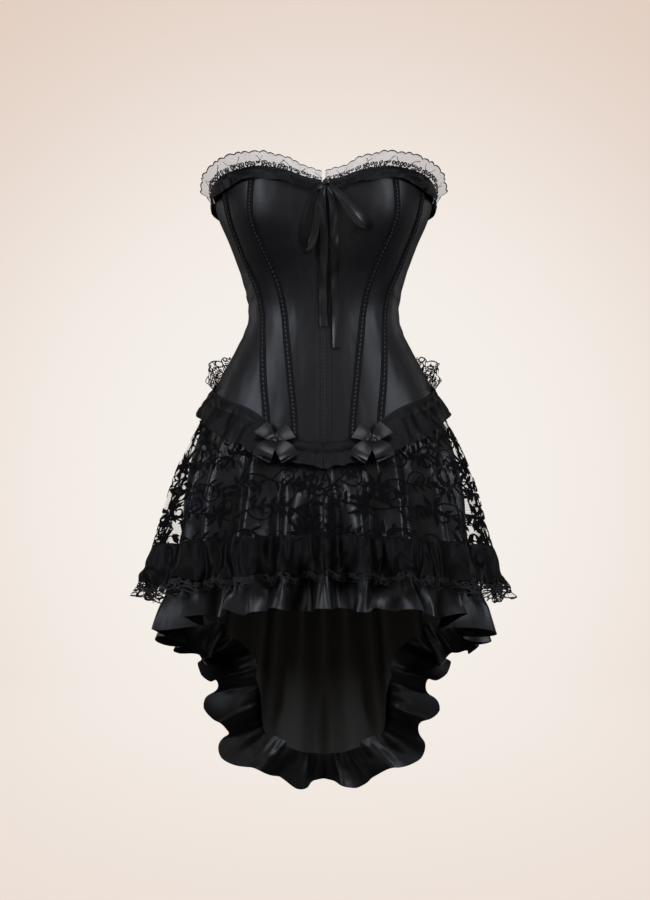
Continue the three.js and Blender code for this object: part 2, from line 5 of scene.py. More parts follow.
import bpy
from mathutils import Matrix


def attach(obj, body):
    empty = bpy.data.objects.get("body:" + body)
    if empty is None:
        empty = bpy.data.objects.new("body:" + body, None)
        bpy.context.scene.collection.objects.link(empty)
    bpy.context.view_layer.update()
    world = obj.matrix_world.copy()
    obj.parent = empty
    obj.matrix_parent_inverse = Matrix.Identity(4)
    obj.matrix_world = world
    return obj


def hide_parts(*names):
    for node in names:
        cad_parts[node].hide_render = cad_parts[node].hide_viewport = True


bl_info = {
    "name": "Corset dress",
    "version": (1, 0, 0),
    "blender": (4, 5, 0),
    "location": "View3D > Sidebar > Corset dress",
    "description": "Dresses the packed corset dress in satin, net, lace and ribbon",
    "category": "Object",
}

import math
from functools import cache, lru_cache, partial

import bpy
from mathutils import Matrix, Vector, noise

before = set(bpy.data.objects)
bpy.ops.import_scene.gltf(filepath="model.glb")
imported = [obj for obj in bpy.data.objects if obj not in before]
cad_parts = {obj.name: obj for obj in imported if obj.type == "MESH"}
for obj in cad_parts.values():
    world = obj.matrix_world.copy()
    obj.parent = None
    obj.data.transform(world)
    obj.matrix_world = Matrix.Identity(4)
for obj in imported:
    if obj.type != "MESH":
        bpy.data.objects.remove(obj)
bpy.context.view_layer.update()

MM = 0.001

# Gap between pieces that are sewn together, and how thick each cloth is in the solids, in millimetres
SEAM = 0.35
COUTIL = 2.4
NET = 1.0
TAPE = 1.2

# The wearer's form by level: half width at the side, depth to the front, depth to the back, rise of the cup
FORM = (
    (-230, 176, 118, 134, 0), (-150, 166, 113, 128, 0), (-105, 155, 107, 119, 0), (-60, 132, 99, 103, 0),
    (-25, 114, 92, 89, 0), (0, 107, 89, 83, 0), (25, 109, 90, 84, 0), (60, 118, 97, 89, 1),
    (100, 133, 108, 96, 5), (140, 150, 117, 101, 8), (175, 157, 118, 101, 7), (220, 160, 112, 98, 3),
)
OVAL_POWER = 2.2
CUP_ANGLE = 38
CUP_SPREAD = 21

# The corset's edges by angle: top edge, hem, how deep the hip frill hangs, how tall the neck lace is and
# how it leans
EDGES = (
    (0, 186, -188, 40, 15, 12), (12, 191, -186, 36, 18, 12), (25, 201, -181, 37, 22, 14),
    (34, 205, -169, 42, 24, 16), (43, 207, -150, 50, 25, 19), (53, 204, -137, 52, 26, 25),
    (65, 197, -129, 46, 26, 33), (77, 184, -120, 42, 25, 44), (90, 168, -110, 40, 24, 56),
    (110, 150, -99, 38, 23, 60), (145, 133, -91, 38, 22, 52), (180, 128, -90, 38, 22, 46),
)

# The two front seams by level, as distances from the centre line: princess and side front
FRONT_SEAMS = (
    (-230, 38, 78), (-150, 41, 80), (-86, 47, 85), (-24, 53, 86), (6, 56, 87), (37, 62, 94),
    (62, 71, 105), (89, 83, 116), (120, 97, 128), (150, 104, 137), (215, 99, 146),
)

# The two back seams by level, as angles round the body: side and side back
BACK_SEAMS = ((-120, 72, 134), (0, 82, 137), (180, 92, 134))

# The skirts by angle: flare, how far the satin hangs inside the net, the satin's edge and the net's edge
FLARES = (
    (0, 1.62, 15, -358, -318), (35, 1.66, 17, -361, -321), (60, 1.68, 26, -370, -328),
    (90, 1.72, 33, -396, -337), (110, 1.66, 28, -415, -342), (125, 1.62, 23, -434, -345),
    (134, 1.52, 21, -448, -346), (140, 1.46, 19, -466, -347), (144, 1.42, 18, -490, -348),
    (148, 1.38, 17, -526, -348), (152, 1.35, 17, -566, -348), (156, 1.32, 16, -597, -349),
    (162, 1.29, 16, -615, -349), (170, 1.27, 15, -627, -350), (180, 1.25, 15, -632, -350),
)
FLARE_POWER = 0.717
# How far the satin's ruffle reaches and how deep its lobes are, as shares of its depth: angle, reach, lobe
RUFFLE_EDGE = (
    (0, 1, 0.03), (125, 1, 0.05), (142, 1.06, 0.18), (151, 1.28, 0.24), (155, 1.1, 0.26), (159, 0.93, 0.19),
    (165, 1, 0.12), (172, 0.92, 0.16), (180, 0.86, 0.18),
)
FOLDS = 18
FOLD_DEPTH = 12
FOLD_GROWTH = 150
SKIRT_HEADING = 14
HEM_TUCK = 3
HIP_EASE = 2
FRONT_SEAM_ANGLE = 52
BACK_SEAM_ANGLE = 128

# How far a panel's face lies under its solid's, how much its relief takes from its wall in metres, and lace's
# thickness as a share of the net's
PANEL_SINK = 0.35
RELIEF = 0.0003
LACE_SHARE = 0.6

# How deep the satin's valleys are between its folds, and how far each skirt's top leans out to the corset
VALLEY = 13
NET_LIFT = 2.3
SATIN_LIFT = 3.6

# The vines: how many rows, how high above the net's edge their length is measured, how far off the net they
# lie, how far under the hem they end, and the flock's thickness in metres
VINE_ROWS = 6
VINE_TRACK = 60
VINE_HEIGHT = 0.9
VINE_TOP = 6
FLOCK = 0.0004

# Trimmings
TAPE_WIDTH = 10
TAPE_INSET = 3
PLACKET_WIDTH = 11
PLACKET_LAP = 0.3
NECK_FRILL_DEPTH = 17
NECK_FRILL_WAVES = 8
NECK_LACE_WAVES = 12
HIP_FRILL_HEADING = 10
HIP_FRILL_WAVES = 8
HIP_LACE_HEIGHT = 32
HIP_LACE_LEAN = 22
HIP_LACE_START = 80
HIP_LACE_WAVES = 5
STRIP_GAP = 0.94
TUCK = 8
RUFFLE_DEPTH = 54
RUFFLE_WAVES = 12
RUFFLE_WAVE_DEPTH = 16
RUFFLE_SPREAD = 6
NET_FRILL_DEPTH = 42
NET_LACE_DEPTH = 22
NET_FRILL_WAVES = 14
NET_FRILL_WAVE_DEPTH = 7
NET_FRILL_SPREAD = 1

# The ribbons of the front bow: distance across, level, height above the corset, width and turn on edge
FRONT_BOW = (
    ((-1, 181, 12, 6, 10), (-13, 172, 12, 9, 50), (-27, 143, 9, 11, 68), (-33, 112, 10, 11, 45),
     (-24, 93, 11, 11, 6), (-14, 112, 9, 11, -12), (-8, 148, 7, 10, -8), (0, 180, 12, 6, 0)),
    ((7, 182, 12, 6, 0), (24, 168, 12, 10, -12), (48, 145, 14, 11, -14), (62, 128, 12, 11, -8),
     (55, 126, 7, 11, 0), (34, 148, 5, 10, 0), (8, 178, 12, 6, 0)),
    ((1, 182, 12, 6, 0), (-2, 158, 9, 10, 14), (1, 110, 5, 11, -10), (-1, 60, 4.5, 11, 8),
     (-1, 20, 4, 11, -4), (0, -16, 4, 11, 0)),
    ((7, 181, 12, 6, 0), (13, 150, 6, 10, -14), (15, 115, 5, 11, 10), (18, 88, 8, 9, 40),
     (16, 60, 5, 11, 6), (17, 10, 4.5, 11, -8), (18, -46, 4, 11, 0)),
)
FRONT_KNOT = (4, 184, 12.5, 6.5, 5.5, 4.5)

# The ribbons of a hip bow, measured from its knot: two loops below and two cut ends above
HIP_BOW = (
    ((-1, -1, 1, 7, 0), (-8, -10, 7, 20, 0), (-16, -22, 9, 27, 0), (-20, -29, 5, 27, 0),
     (-15, -21, 0, 25, 0), (-1, -2, -1, 7, 0)),
    ((1, -1, 1, 7, 0), (7, -10, 8, 20, 0), (15, -22, 10, 27, 0), (18, -28, 5, 27, 0),
     (14, -21, 0, 25, 0), (1, -2, -1, 7, 0)),
    ((-1, 1, 0, 7, 0), (-11, 7, 4, 19, 0), (-25, 14, 5, 27, 0)),
    ((1, 1, 0, 7, 0), (8, 9, 4, 19, 0), (18, 20, 4, 26, 0)),
)
HIP_KNOT = (0, 0, 1, 6, 6, 5)
HIP_BOW_ANGLE = 33
HIP_BOW_LEVEL = -181
HIP_BOW_HEIGHT = 10.2


def clamp(x, low, high):
    return min(max(x, low), high)


def lerp(a, b, t):
    return a + (b - a) * t


def smoothstep(x, low, high):
    t = clamp((x - low) / (high - low), 0, 1)
    return t * t * (3 - 2 * t)


def curve(table, column):
    """A smooth curve through one column of a table, against the table's first column."""
    at = [row[0] for row in table]
    value = [row[column] for row in table]
    last = len(at) - 1
    slope = []
    for i in range(len(at)):
        before, after = max(i - 1, 0), min(i + 1, last)
        slope.append((value[after] - value[before]) / (at[after] - at[before]))

    def read(where):
        x = clamp(where, at[0], at[last])
        j = 0
        while j < last - 1 and at[j + 1] <= x:
            j += 1
        step = at[j + 1] - at[j]
        t = (x - at[j]) / step
        rest = 1 - t
        return (value[j] * (1 + 2 * t) * rest * rest + slope[j] * step * t * rest * rest
                + value[j + 1] * t * t * (3 - 2 * t) - slope[j + 1] * step * t * t * rest)

    return lru_cache(maxsize=20000)(read)


def mirrored(table, column):
    """A smooth curve by angle that is alike on both sides."""
    read = curve(table, column)
    return lambda angle: read(abs(angle))


side_reach, front_reach, back_reach, cup_rise = (curve(FORM, i) for i in range(1, 5))
top_edge, hem_edge, hip_frill_drop, lace_height, lace_lean = (mirrored(EDGES, i) for i in range(1, 6))
skirt_flare, satin_inside, satin_end, net_end = (mirrored(FLARES, i) for i in range(1, 5))
ruffle_reach, ruffle_lobe = (mirrored(RUFFLE_EDGE, i) for i in (1, 2))
princess_line, side_front_line = (curve(FRONT_SEAMS, i) for i in (1, 2))
side_line, side_back_line = (curve(BACK_SEAMS, i) for i in (1, 2))


def wrapped(angle):
    """The same angle, from -180 to 180."""
    return (angle + 180) % 360 - 180


def bell(x, middle, width):
    """1 at the middle, falling away softly over a width."""
    return math.exp(-((x - middle) / width) ** 2)


def place(angle, radius, level):
    turn = math.radians(angle)
    return Vector((radius * math.sin(turn), -radius * math.cos(turn), level))


def corset_radius(angle, level):
    """Radius of the corset's outer face at an angle from the front and a level."""
    around = abs(wrapped(angle))
    turn = math.radians(around)
    across = abs(math.sin(turn)) / side_reach(level)
    along = abs(math.cos(turn)) / (front_reach(level) if around < 90 else back_reach(level))
    oval = (across ** OVAL_POWER + along ** OVAL_POWER) ** (-1 / OVAL_POWER)
    return oval + cup_rise(level) * bell(around, CUP_ANGLE, CUP_SPREAD)


@lru_cache(maxsize=50000)
def angle_across(distance, level):
    """Angle at which the corset's outer face is a given distance from the centre line."""
    low, high = 0, 90
    for _ in range(24):
        middle = (low + high) / 2
        if corset_radius(middle, level) * math.sin(math.radians(middle)) < distance:
            low = middle
        else:
            high = middle
    return low


SEAM_LINES = {
    "front": lambda level: 0,
    "princess": lambda level: angle_across(princess_line(level), level),
    "side_front": lambda level: angle_across(side_front_line(level), level),
    "side": side_line,
    "side_back": side_back_line,
    "back": lambda level: 180,
}


def fold_wave(angle):
    """Folds of both skirts: a ridge at the centre front and one every 20 degrees, a little uneven."""
    around = math.radians(abs(angle))
    phase = FOLDS * around + 0.5 * math.sin(3 * around)
    return math.cos(phase) * (0.84 + 0.16 * math.cos(5 * around))


def net_radius(angle, level):
    """Radius of the net overskirt's outer face: inside the corset above its hem, then flaring with folds."""
    hem = hem_edge(angle)
    drop = max(hem - HEM_TUCK - level, 0)
    start = corset_radius(angle, max(level, hem)) - COUTIL - HIP_EASE
    ridge = FOLD_DEPTH * smoothstep(drop, 0, FOLD_GROWTH) * fold_wave(angle)
    return start + skirt_flare(angle) * drop ** FLARE_POWER + ridge


def satin_radius(angle, level):
    """Radius of the satin skirt's outer face, inside the net."""
    drop = max(hem_edge(angle) - HEM_TUCK - level, 0)
    gap = NET + 2 * SEAM + 3 * smoothstep(drop, 0, 16) + satin_inside(angle) * smoothstep(drop, 20, 230)
    return net_radius(angle, level) - gap


def raised(radius_at, angle, level, height):
    """A point of a round surface, moved out along the surface's own slope."""
    step = 0.5
    around = (place(angle + step, radius_at(angle + step, level), level)
              - place(angle - step, radius_at(angle - step, level), level))
    rise = (place(angle, radius_at(angle, level + step), level + step)
            - place(angle, radius_at(angle, level - step), level - step))
    return place(angle, radius_at(angle, level), level) + around.cross(rise).normalized() * height


def uneven(x, y, seed):
    """A smooth unevenness between about -1 and 1."""
    return 1.6 * noise.noise(Vector((x, y, seed * 7.31)))


def gather(u, waves, start):
    """Waves along a gathered strip, a little uneven so that no two are alike."""
    return math.sin(2 * math.pi * waves * u + start + 0.6 * math.sin(7 * u + start))


# Sizes and colours that a user would change

def hex_colour(text, alpha=None):
    """An sRGB hex colour as linear numbers."""
    parts = [int(text[i:i + 2], 16) / 255 for i in (0, 2, 4)]
    linear = [c / 12.92 if c <= 0.04045 else ((c + 0.055) / 1.055) ** 2.4 for c in parts]
    return tuple(linear) if alpha is None else (*linear, alpha)


def length_setting(name, description, default, low, high):
    return bpy.props.FloatProperty(name=name, description=description, default=default, min=low, max=high,
                                   unit="LENGTH", precision=4)


def colour_setting(name, description, default):
    return bpy.props.FloatVectorProperty(name=name, description=description, default=hex_colour(default),
                                         min=0, max=1, size=3, subtype="COLOR")


class DressSizes(bpy.types.PropertyGroup):
    """Sizes of the cloths and of what is worked on them."""

    bodice_wall: length_setting("Bodice wall", "Thickness of the boned panels", 0.0024, 0.001, 0.003)
    satin_wall: length_setting("Satin wall", "Thickness of the skirt satin", 0.0008, 0.0004, 0.001)
    net_wall: length_setting("Net wall", "Thickness of net, chiffon and lace", 0.0005, 0.0003, 0.001)
    ribbon_wall: length_setting("Ribbon wall", "Thickness of the bows' ribbon", 0.0007, 0.0004, 0.001)
    bodice_step: length_setting("Bodice step", "Distance between a panel's rows", 0.004, 0.002, 0.02)
    crease_depth: length_setting("Crease depth", "Depth of the creases at the waist", 0.0011, 0, 0.003)
    fold_shift: length_setting("Fold shift", "How far the skirts' folds wander", 0.004, 0, 0.01)
    vine_width: length_setting("Vine width", "Length of one repeat of the vine", 0.057, 0.05, 0.3)
    vine_row: length_setting("Vine row", "Distance between rows of the vine", 0.041, 0.04, 0.2)
    net_cell: length_setting("Net cell", "Width of one hole of the net as drawn", 0.0022, 0.001, 0.006)
    stitch: length_setting("Stitch", "Length of one stitch of the braids", 0.0056, 0.002, 0.008)


class DressColours(bpy.types.PropertyGroup):
    """Colours of the cloths and of the backdrop."""

    panel: colour_setting("Panel satin", "Colour of the bodice panels", "0D0C10")
    skirt: colour_setting("Skirt satin", "Colour of the satin skirt", "070708")
    ribbon: colour_setting("Ribbon", "Colour of the bows", "131315")
    braid: colour_setting("Braid", "Colour of the seam tapes", "080809")
    stitch: colour_setting("Braid stitches", "Colour of the braid's middle line", "4A4A4E")
    placket_stitch: colour_setting("Placket stitches", "Colour of the plackets' stitches", "2E2926")
    chiffon: colour_setting("Chiffon", "Colour of the frills", "060606")
    net: colour_setting("Net", "Colour of the tulle", "1A1A1C")
    flock: colour_setting("Flock", "Colour of the flocked vines", "060607")
    lace: colour_setting("Lace", "Colour of the lace's cords and figures", "0C0C0D")
    veil: colour_setting("Lace veil", "Colour of the neck lace's net ground", "E4EAEE")
    lining: colour_setting("Lining", "Colour of the bodice's lining", "121213")
    skirt_lining: colour_setting("Skirt lining", "Colour of the satin skirt's inside", "42403C")
    backdrop: colour_setting("Backdrop", "Colour of the paper behind the dress", "F5EFE9")
    # The backdrop edge colour is painted shade: the paper further out is drawn darker and warmer than in the
    # middle
    backdrop_edge: colour_setting("Backdrop edge", "Colour of the paper further out", "E3CFC2")


def sizes():
    return bpy.context.scene.dress_sizes


def colours():
    return bpy.context.scene.dress_colours


# Materials

def fill(tree, made, values):
    """Gives a node's sockets and properties their values, and links the sockets that another node fills."""
    for name, value in values.items():
        key = name if isinstance(name, int) else name.replace("_", " ").title().replace("Ior", "IOR")
        socket = made.inputs[key] if isinstance(key, int) or key in made.inputs else None
        if socket is None:
            setattr(made, name, value)
        elif isinstance(value, bpy.types.NodeSocket):
            tree.links.new(value, socket)
        else:
            socket.default_value = value


def add_node(tree, kind, *values, out=0, sockets=None, **settings):
    """Adds a node and gives one of its outputs. Its kind may carry an operation, as in "Math ADD"."""
    kind, _, operation = kind.partition(" ")
    made = tree.nodes.new("ShaderNode" + kind)
    if operation:
        made.operation = operation
    fill(tree, made, settings | dict(enumerate(values)) | (sockets or {}))
    return made.outputs[out]


def fabric(name, colour, **surface):
    """Starts a material of one Principled shader: gives what adds a node to it and what ends it."""
    material = bpy.data.materials.new(name)
    material.use_nodes = True
    tree = material.node_tree

    def finish(**sockets):
        fill(tree, tree.nodes["Principled BSDF"], sockets)
        return material

    finish(base_color=(*colour, 1), **surface)
    return partial(add_node, tree), finish


def cloth_map(node, across=1, down=1):
    """The cloth's own map, in metres along and down it or in repeats of a pattern that is so many metres."""
    return node("Mapping", node("UVMap", uv_map="UVMap"), scale=(1 / across, 1 / down, 1))


def along_and_down(node):
    """The two measures of the cloth's own map, in metres."""
    flat = cloth_map(node)
    return node("SeparateXYZ", flat), node("SeparateXYZ", flat, out=1)


def satin(name, colour, roughness, thread, slub_depth, sheen, crush=(0.045, 0.03, 2.5)):
    """Woven satin: long floating threads, so a soft bright band where it turns and fine slubs along it."""
    node, finish = fabric(name, colour, roughness=roughness, sheen_weight=sheen, sheen_roughness=0.35)
    # Threads are 0.1 mm apart in the cloth and are drawn in bundles, so that they show
    threads = node("TexWave", cloth_map(node, thread * 6, thread * 6), out="Fac", scale=1, distortion=1.4,
                   detail=2, detail_scale=1.2, bands_direction="Y")
    # Slubs are 0.5 mm thick and are drawn four times as coarse
    slubs = node("TexNoise", cloth_map(node, 0.030, 0.0021), scale=1, detail=3)
    # Soft hollows where the cloth is crushed: how long, how wide and how strong they are
    long, wide, strength = crush
    hollows = node("TexNoise", cloth_map(node, long, wide), scale=1)
    height = node("Math MULTIPLY_ADD", slubs, 0.7, node("Math MULTIPLY", threads, 0.5))
    height = node("Math MULTIPLY_ADD", hollows, strength, height)
    return finish(normal=node("Bump", height=height, distance=slub_depth, strength=0.6),
                  roughness=node("MapRange", slubs, to_min=roughness - 0.05, to_max=roughness + 0.07))


@cache
def panel_satin():
    # Coutil-backed satin: a broad grey sheen down each panel that fades into black
    return satin("duchess_satin", colours().panel, 0.46, 0.0013, 0.00014, 0.03)


@cache
def skirt_satin():
    # Charmeuse: brighter and narrower lights along each fold than the panels have
    return satin("charmeuse_satin", colours().skirt, 0.37, 0.0012, 0.00008, 0.02)


@cache
def ruffle_satin():
    # The same charmeuse, crushed by its gathers: the lights break up into short soft strokes
    return satin("gathered_charmeuse", colours().skirt, 0.43, 0.0012, 0.00008, 0.03, (0.013, 0.042, 16))


@cache
def ribbon_satin():
    # Single-faced satin ribbon: bright where it turns, with a fine woven grain
    return satin("satin_ribbon", colours().ribbon, 0.36, 0.0010, 0.00006, 0.03)


@cache
def lining_twill():
    # Cotton twill: matt black with faint slanted lines
    node, finish = fabric("cotton_twill", colours().lining, roughness=0.85, sheen_weight=0.15)
    # Twill lines are 0.6 mm apart and are drawn twice as coarse
    lines = node("TexWave", cloth_map(node, 0.0075, 0.0075), out="Fac", scale=1, bands_direction="DIAGONAL")
    return finish(normal=node("Bump", height=lines, distance=0.00015, strength=1))


@cache
def skirt_lining():
    # Acetate lining: a dull, even black without the satin's lights
    node, finish = fabric("acetate_lining", colours().skirt_lining, roughness=0.62, specular_ior_level=0.25)
    soft = node("TexNoise", cloth_map(node, 0.010, 0.080), scale=1, detail=3)
    return finish(normal=node("Bump", height=soft, distance=0.0012, strength=0.5))


def stitched(node, row, share, base, thread):
    """The cloth's colour with a row of stitches on it: row is 1 on the line, and share is a stitch's part."""
    down = node("Math DIVIDE", along_and_down(node)[1], sizes().stitch)
    dashes = node("Math LESS_THAN", node("Math FRACT", down), share)
    stitches = node("Math MULTIPLY", row, dashes)
    return node("Mix", sockets={0: stitches, 6: (*base, 1), 7: (*thread, 1)}, out=2, data_type="RGBA")


@cache
def gimp_braid():
    # Woven gimp braid: matt cords along both edges and a light row of stitches down the middle
    node, finish = fabric("gimp_braid", colours().braid, roughness=0.75, specular_ior_level=0.25)
    off_middle = node("Math ABSOLUTE", along_and_down(node)[0])
    row = node("Math LESS_THAN", off_middle, 0.0008)
    # The cords' twist is 1.7 mm long
    twist = node("TexWave", cloth_map(node, 0.010, 0.010), out="Fac", scale=1, distortion=1,
                 bands_direction="DIAGONAL")
    return finish(base_color=stitched(node, row, 0.5, colours().braid, colours().stitch),
                  normal=node("Bump", height=twist, distance=0.0003, strength=1))


@cache
def placket_sateen():
    # Cotton sateen over the busk: duller than the panels, with fine upright ribs and a faint brown stitch
    node, finish = fabric("placket_sateen", colours().panel, roughness=0.62, specular_ior_level=0.35)
    across = along_and_down(node)[0]
    # Ribs are 2.2 mm apart, and the stitches run 3.5 mm to each side of the placket's middle
    ribs = node("Math SINE", node("Math MULTIPLY", across, 2 * math.pi / 0.0022))
    rough = node("TexNoise", cloth_map(node, 0.002, 0.011), scale=1, detail=3)
    relief = node("Math MULTIPLY_ADD", rough, 2.0, ribs)
    off_row = node("Math ADD", node("Math ABSOLUTE", across), -0.0035)
    row = node("Math LESS_THAN", node("Math ABSOLUTE", off_row), 0.0005)
    return finish(base_color=stitched(node, row, 0.6, colours().panel, colours().placket_stitch),
                  normal=node("Bump", height=relief, distance=0.00012, strength=1))


@cache
def chiffon(name="crinkled_chiffon", gloss=0.22):
    # Polyester chiffon over net: dull black with a crosswise thread grain and thin pale edges where it folds
    node, finish = fabric(name, colours().chiffon, roughness=0.52, specular_ior_level=gloss)
    # The crinkle is about 3 mm across and runs down the frill
    crinkle = node("TexNoise", cloth_map(node, 0.0034, 0.014), scale=1, detail=4, roughness=0.6)
    return finish(normal=node("Bump", height=crinkle, distance=0.0009, strength=0.8))


def skirt_chiffon():
    # The same chiffon in many close layers, which lets less light back
    return chiffon("layered_chiffon", 0.12)


def net_threads(node, cell, thickness):
    """1 on the threads of a net and 0 in its holes."""
    holes = node("TexVoronoi", cloth_map(node, cell, cell), scale=1, randomness=0.25,
                 feature="DISTANCE_TO_EDGE", voronoi_dimensions="2D")
    return node("Math LESS_THAN", holes, thickness)


@cache
def tulle():
    # Nylon tulle: a see-through black veil, whose holes show only close up
    node, finish = fabric("nylon_tulle", colours().net, roughness=0.6)
    # The holes are 1 mm wide and are drawn twice as coarse
    threads = net_threads(node, sizes().net_cell, 0.06)
    return finish(alpha=node("Math MULTIPLY_ADD", threads, 0.14, 0.04))


@cache
def flock():
    # Nylon flock: a dense velvet pile that takes nearly all light and has a faint soft edge
    node, finish = fabric("nylon_flock", colours().flock, roughness=0.95, sheen_weight=0.04,
                          sheen_roughness=0.5, specular_ior_level=0.15)
    # Tufts of the pile are 0.7 mm across as drawn
    pile = node("TexNoise", node("TexCoord", out="Object"), scale=1500, detail=2)
    return finish(normal=node("Bump", height=pile, distance=0.0003, strength=1))


def rings(node, across, down, randomness, reach, thickness):
    """Rings of cord, one in each cell of an uneven row and column, and the distance off a cell's middle."""
    off = node("TexVoronoi", cloth_map(node, across, down), scale=1, randomness=randomness,
               voronoi_dimensions="2D")
    off_ring = node("Math ABSOLUTE", node("Math SUBTRACT", off, reach))
    return node("Math LESS_THAN", off_ring, thickness), off


@cache
def trim_lace_cloth():
    # Heavier raschel lace: a fine open net, loops and curls of cord in it, and a corded outer edge
    node, finish = fabric("heavy_raschel_lace", colours().lace, roughness=0.75)
    net_part = node("Math MULTIPLY", net_threads(node, 0.0036, 0.05), 0.22)
    # Loops are 13 mm across and curls 7 mm, in cord about 1.4 mm thick
    loops, _ = rings(node, 0.0135, 0.0135, 0.6, 0.46, 0.075)
    curls, _ = rings(node, 0.0072, 0.0072, 0.6, 0.30, 0.13)
    down = along_and_down(node)[1]
    foot = node("Math GREATER_THAN", down, 0.0085)
    cord = node("Math LESS_THAN", down, 0.0017)
    figures = node("Math MAXIMUM", loops, node("Math MULTIPLY", curls, foot))
    figures = node("Math MAXIMUM", figures, cord)
    return finish(alpha=node("Math MAXIMUM", figures, net_part))


@cache
def neck_lace_cloth():
    # Fine raschel lace on a pale net ground: a soft grey-white veil, a dark scalloped cord along its edge,
    # curled roses along its foot and thin slanting stems
    node, finish = fabric("fine_raschel_lace", colours().veil, roughness=0.85)
    across, down = along_and_down(node)
    # The cord is 1.6 mm thick, with a knot every 1.7 mm
    beads = node("Math SINE", node("Math MULTIPLY", across, 3700))
    cord = node("Math LESS_THAN", down, node("Math MULTIPLY_ADD", beads, 0.0004, 0.0016))
    # Roses are 8 mm across: a ring of cord round a knot
    ring, off = rings(node, 0.0084, 0.0074, 0.5, 0.34, 0.14)
    curls = node("Math MAXIMUM", ring, node("Math LESS_THAN", off, 0.10))
    bend = node("TexNoise", cloth_map(node, 0.03, 0.03), scale=1)
    row = node("Math GREATER_THAN", node("Math MULTIPLY_ADD", bend, 0.010, down), 0.0190)
    figures = node("Math MULTIPLY", curls, row)
    above_foot = node("Math GREATER_THAN", down, 0.0065)
    for pitch, slope in ((0.047, 26), (0.062, -19)):
        # A stem rises from the foot at each pitch, 1.4 mm thick, and leans as it goes
        lean = node("Math MULTIPLY_ADD", down, slope, node("Math DIVIDE", across, pitch))
        share = node("Math FRACT", node("Math MULTIPLY_ADD", bend, 0.5, lean))
        off_stem = node("Math ABSOLUTE", node("Math SUBTRACT", share, 0.5))
        line = node("Math LESS_THAN", off_stem, 0.0007 / pitch)
        figures = node("Math MAXIMUM", figures, node("Math MULTIPLY", line, above_foot))
    figures = node("Math MAXIMUM", figures, cord)
    veil, lace = (*colours().veil, 1), (*colours().lace, 1)
    return finish(base_color=node("Mix", sockets={0: figures, 6: veil, 7: lace}, out=2, data_type="RGBA"),
                  alpha=node("Math MULTIPLY_ADD", figures, 0.73, 0.27))


@cache
def backdrop_paper():
    # Seamless paper that glows by itself: an even pale surface, with painted shade that makes it a little
    # darker and warmer away from the middle, where the light on the paper falls off
    node, finish = fabric("seamless_paper", hex_colour("0C0B0A"), roughness=0.95,
                          emission_strength=1, specular_ior_level=0)
    # How far a spot is from the paper's middle, in metres, where depth counts for a tenth
    middle, depth_share = (0, 16.0, -0.27), (1, 0.10, 1)
    off = node("VectorMath SUBTRACT", node("TexCoord", out="Object"), middle)
    off = node("VectorMath MULTIPLY", off, depth_share)
    away = node("VectorMath LENGTH", off, out=1)
    # Painted shade: away from the middle the glow turns from the pale colour to the darker, warmer edge
    # colour
    share = node("MapRange", away, 0.68, 2.57, interpolation_type="SMOOTHSTEP")
    pale, warm = (*colours().backdrop, 1), (*colours().backdrop_edge, 1)
    return finish(emission_color=node("Mix", sockets={0: share, 6: pale, 7: warm}, out=2, data_type="RGBA"))


# Making pieces

def deselect():
    if bpy.context.mode != "OBJECT":
        bpy.ops.object.mode_set(mode="OBJECT")
    bpy.ops.object.select_all(action="DESELECT")


def new_grid(name, at, columns, rows, cut):
    """A flat grid whose points are laid on the cloth's form: at(u, v) in millimetres, u across and v down.
    The grid's map is the cloth's own, in metres: cut(u, v), or a width and a length."""
    deselect()
    bpy.ops.mesh.primitive_grid_add(x_subdivisions=columns, y_subdivisions=rows, size=1, location=(0, 0, 0))
    piece = bpy.context.active_object
    piece.name = name
    mesh = piece.data
    mesh.name = name
    spots = [(vertex.co.x + 0.5, 0.5 - vertex.co.y) for vertex in mesh.vertices]
    points = [at(u, v) * MM for u, v in spots]
    mesh.vertices.foreach_set("co", [c for point in points for c in point])
    layer = mesh.uv_layers.active
    layer.name = "UVMap"
    corners = [spots[loop.vertex_index] for loop in mesh.loops]
    flat = [cut(u, v) if callable(cut) else (u * cut[0], v * cut[1]) for u, v in corners]
    layer.data.foreach_set("uv", [c for pair in flat for c in pair])
    mesh.update()
    return piece


def choose(piece):
    """Selects one piece alone and makes it active."""
    deselect()
    piece.select_set(True)
    bpy.context.view_layer.objects.active = piece


def apply_modifier(piece, kind, **settings):
    choose(piece)
    modifier = piece.modifiers.new(kind.title(), kind)
    for name, value in settings.items():
        setattr(modifier, name, value)
    bpy.ops.object.modifier_apply(modifier=modifier.name)


def thicken(piece, wall, lining=None):
    """Gives the cloth its thickness, behind the face that shows."""
    if lining:
        piece.data.materials.append(lining)
    apply_modifier(piece, "SOLIDIFY", thickness=wall, offset=-1, use_quality_normals=True,
                   material_offset=1 if lining else 0)


def finish_piece(piece, nodes, angle=50):
    """Smooths the piece, sets it on the dress, and lets it stand for its solids."""
    choose(piece)
    bpy.ops.object.shade_smooth_by_angle(angle=math.radians(angle))
    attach(piece, "root")
    if nodes:
        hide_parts(*nodes)


def sew(name, at, grid, cut, cloth, wall, node_name, slot, held, angle=50, lining=None, flat=None, **sheet):
    piece = new_grid(name, at, *grid, cut)
    piece.data.materials.append(cloth)
    thicken(piece, wall, lining)
    finish_piece(piece, [node_name], angle)


def joined(pieces):
    """Joins pieces into the first one."""
    deselect()
    for piece in pieces:
        piece.select_set(True)
    bpy.context.view_layer.objects.active = pieces[0]
    bpy.ops.object.join()
    return pieces[0]


def span(angle_from, angle_to, side):
    """The angle at a share of the way across a piece of one side, kept running the same way on both sides."""
    if side > 0:
        return lambda u: lerp(angle_from, angle_to, u)
    return lambda u: -lerp(angle_to, angle_from, u)


SIDES = ((1, "left"), (-1, "right"))


def beside(line, millimetres):
    """A line down the corset, some millimetres round from a seam."""
    def read(level):
        angle = line(level)
        return angle + math.degrees(millimetres / corset_radius(angle, level))
    return read


def on_line(line, v):
    """Angle and level of a point on a line, where v runs from the top edge to the hem."""
    angle, level = line(0), 0
    for _ in range(18):
        level = lerp(top_edge(angle), hem_edge(angle), v)
        angle = line(level)
    return angle, level


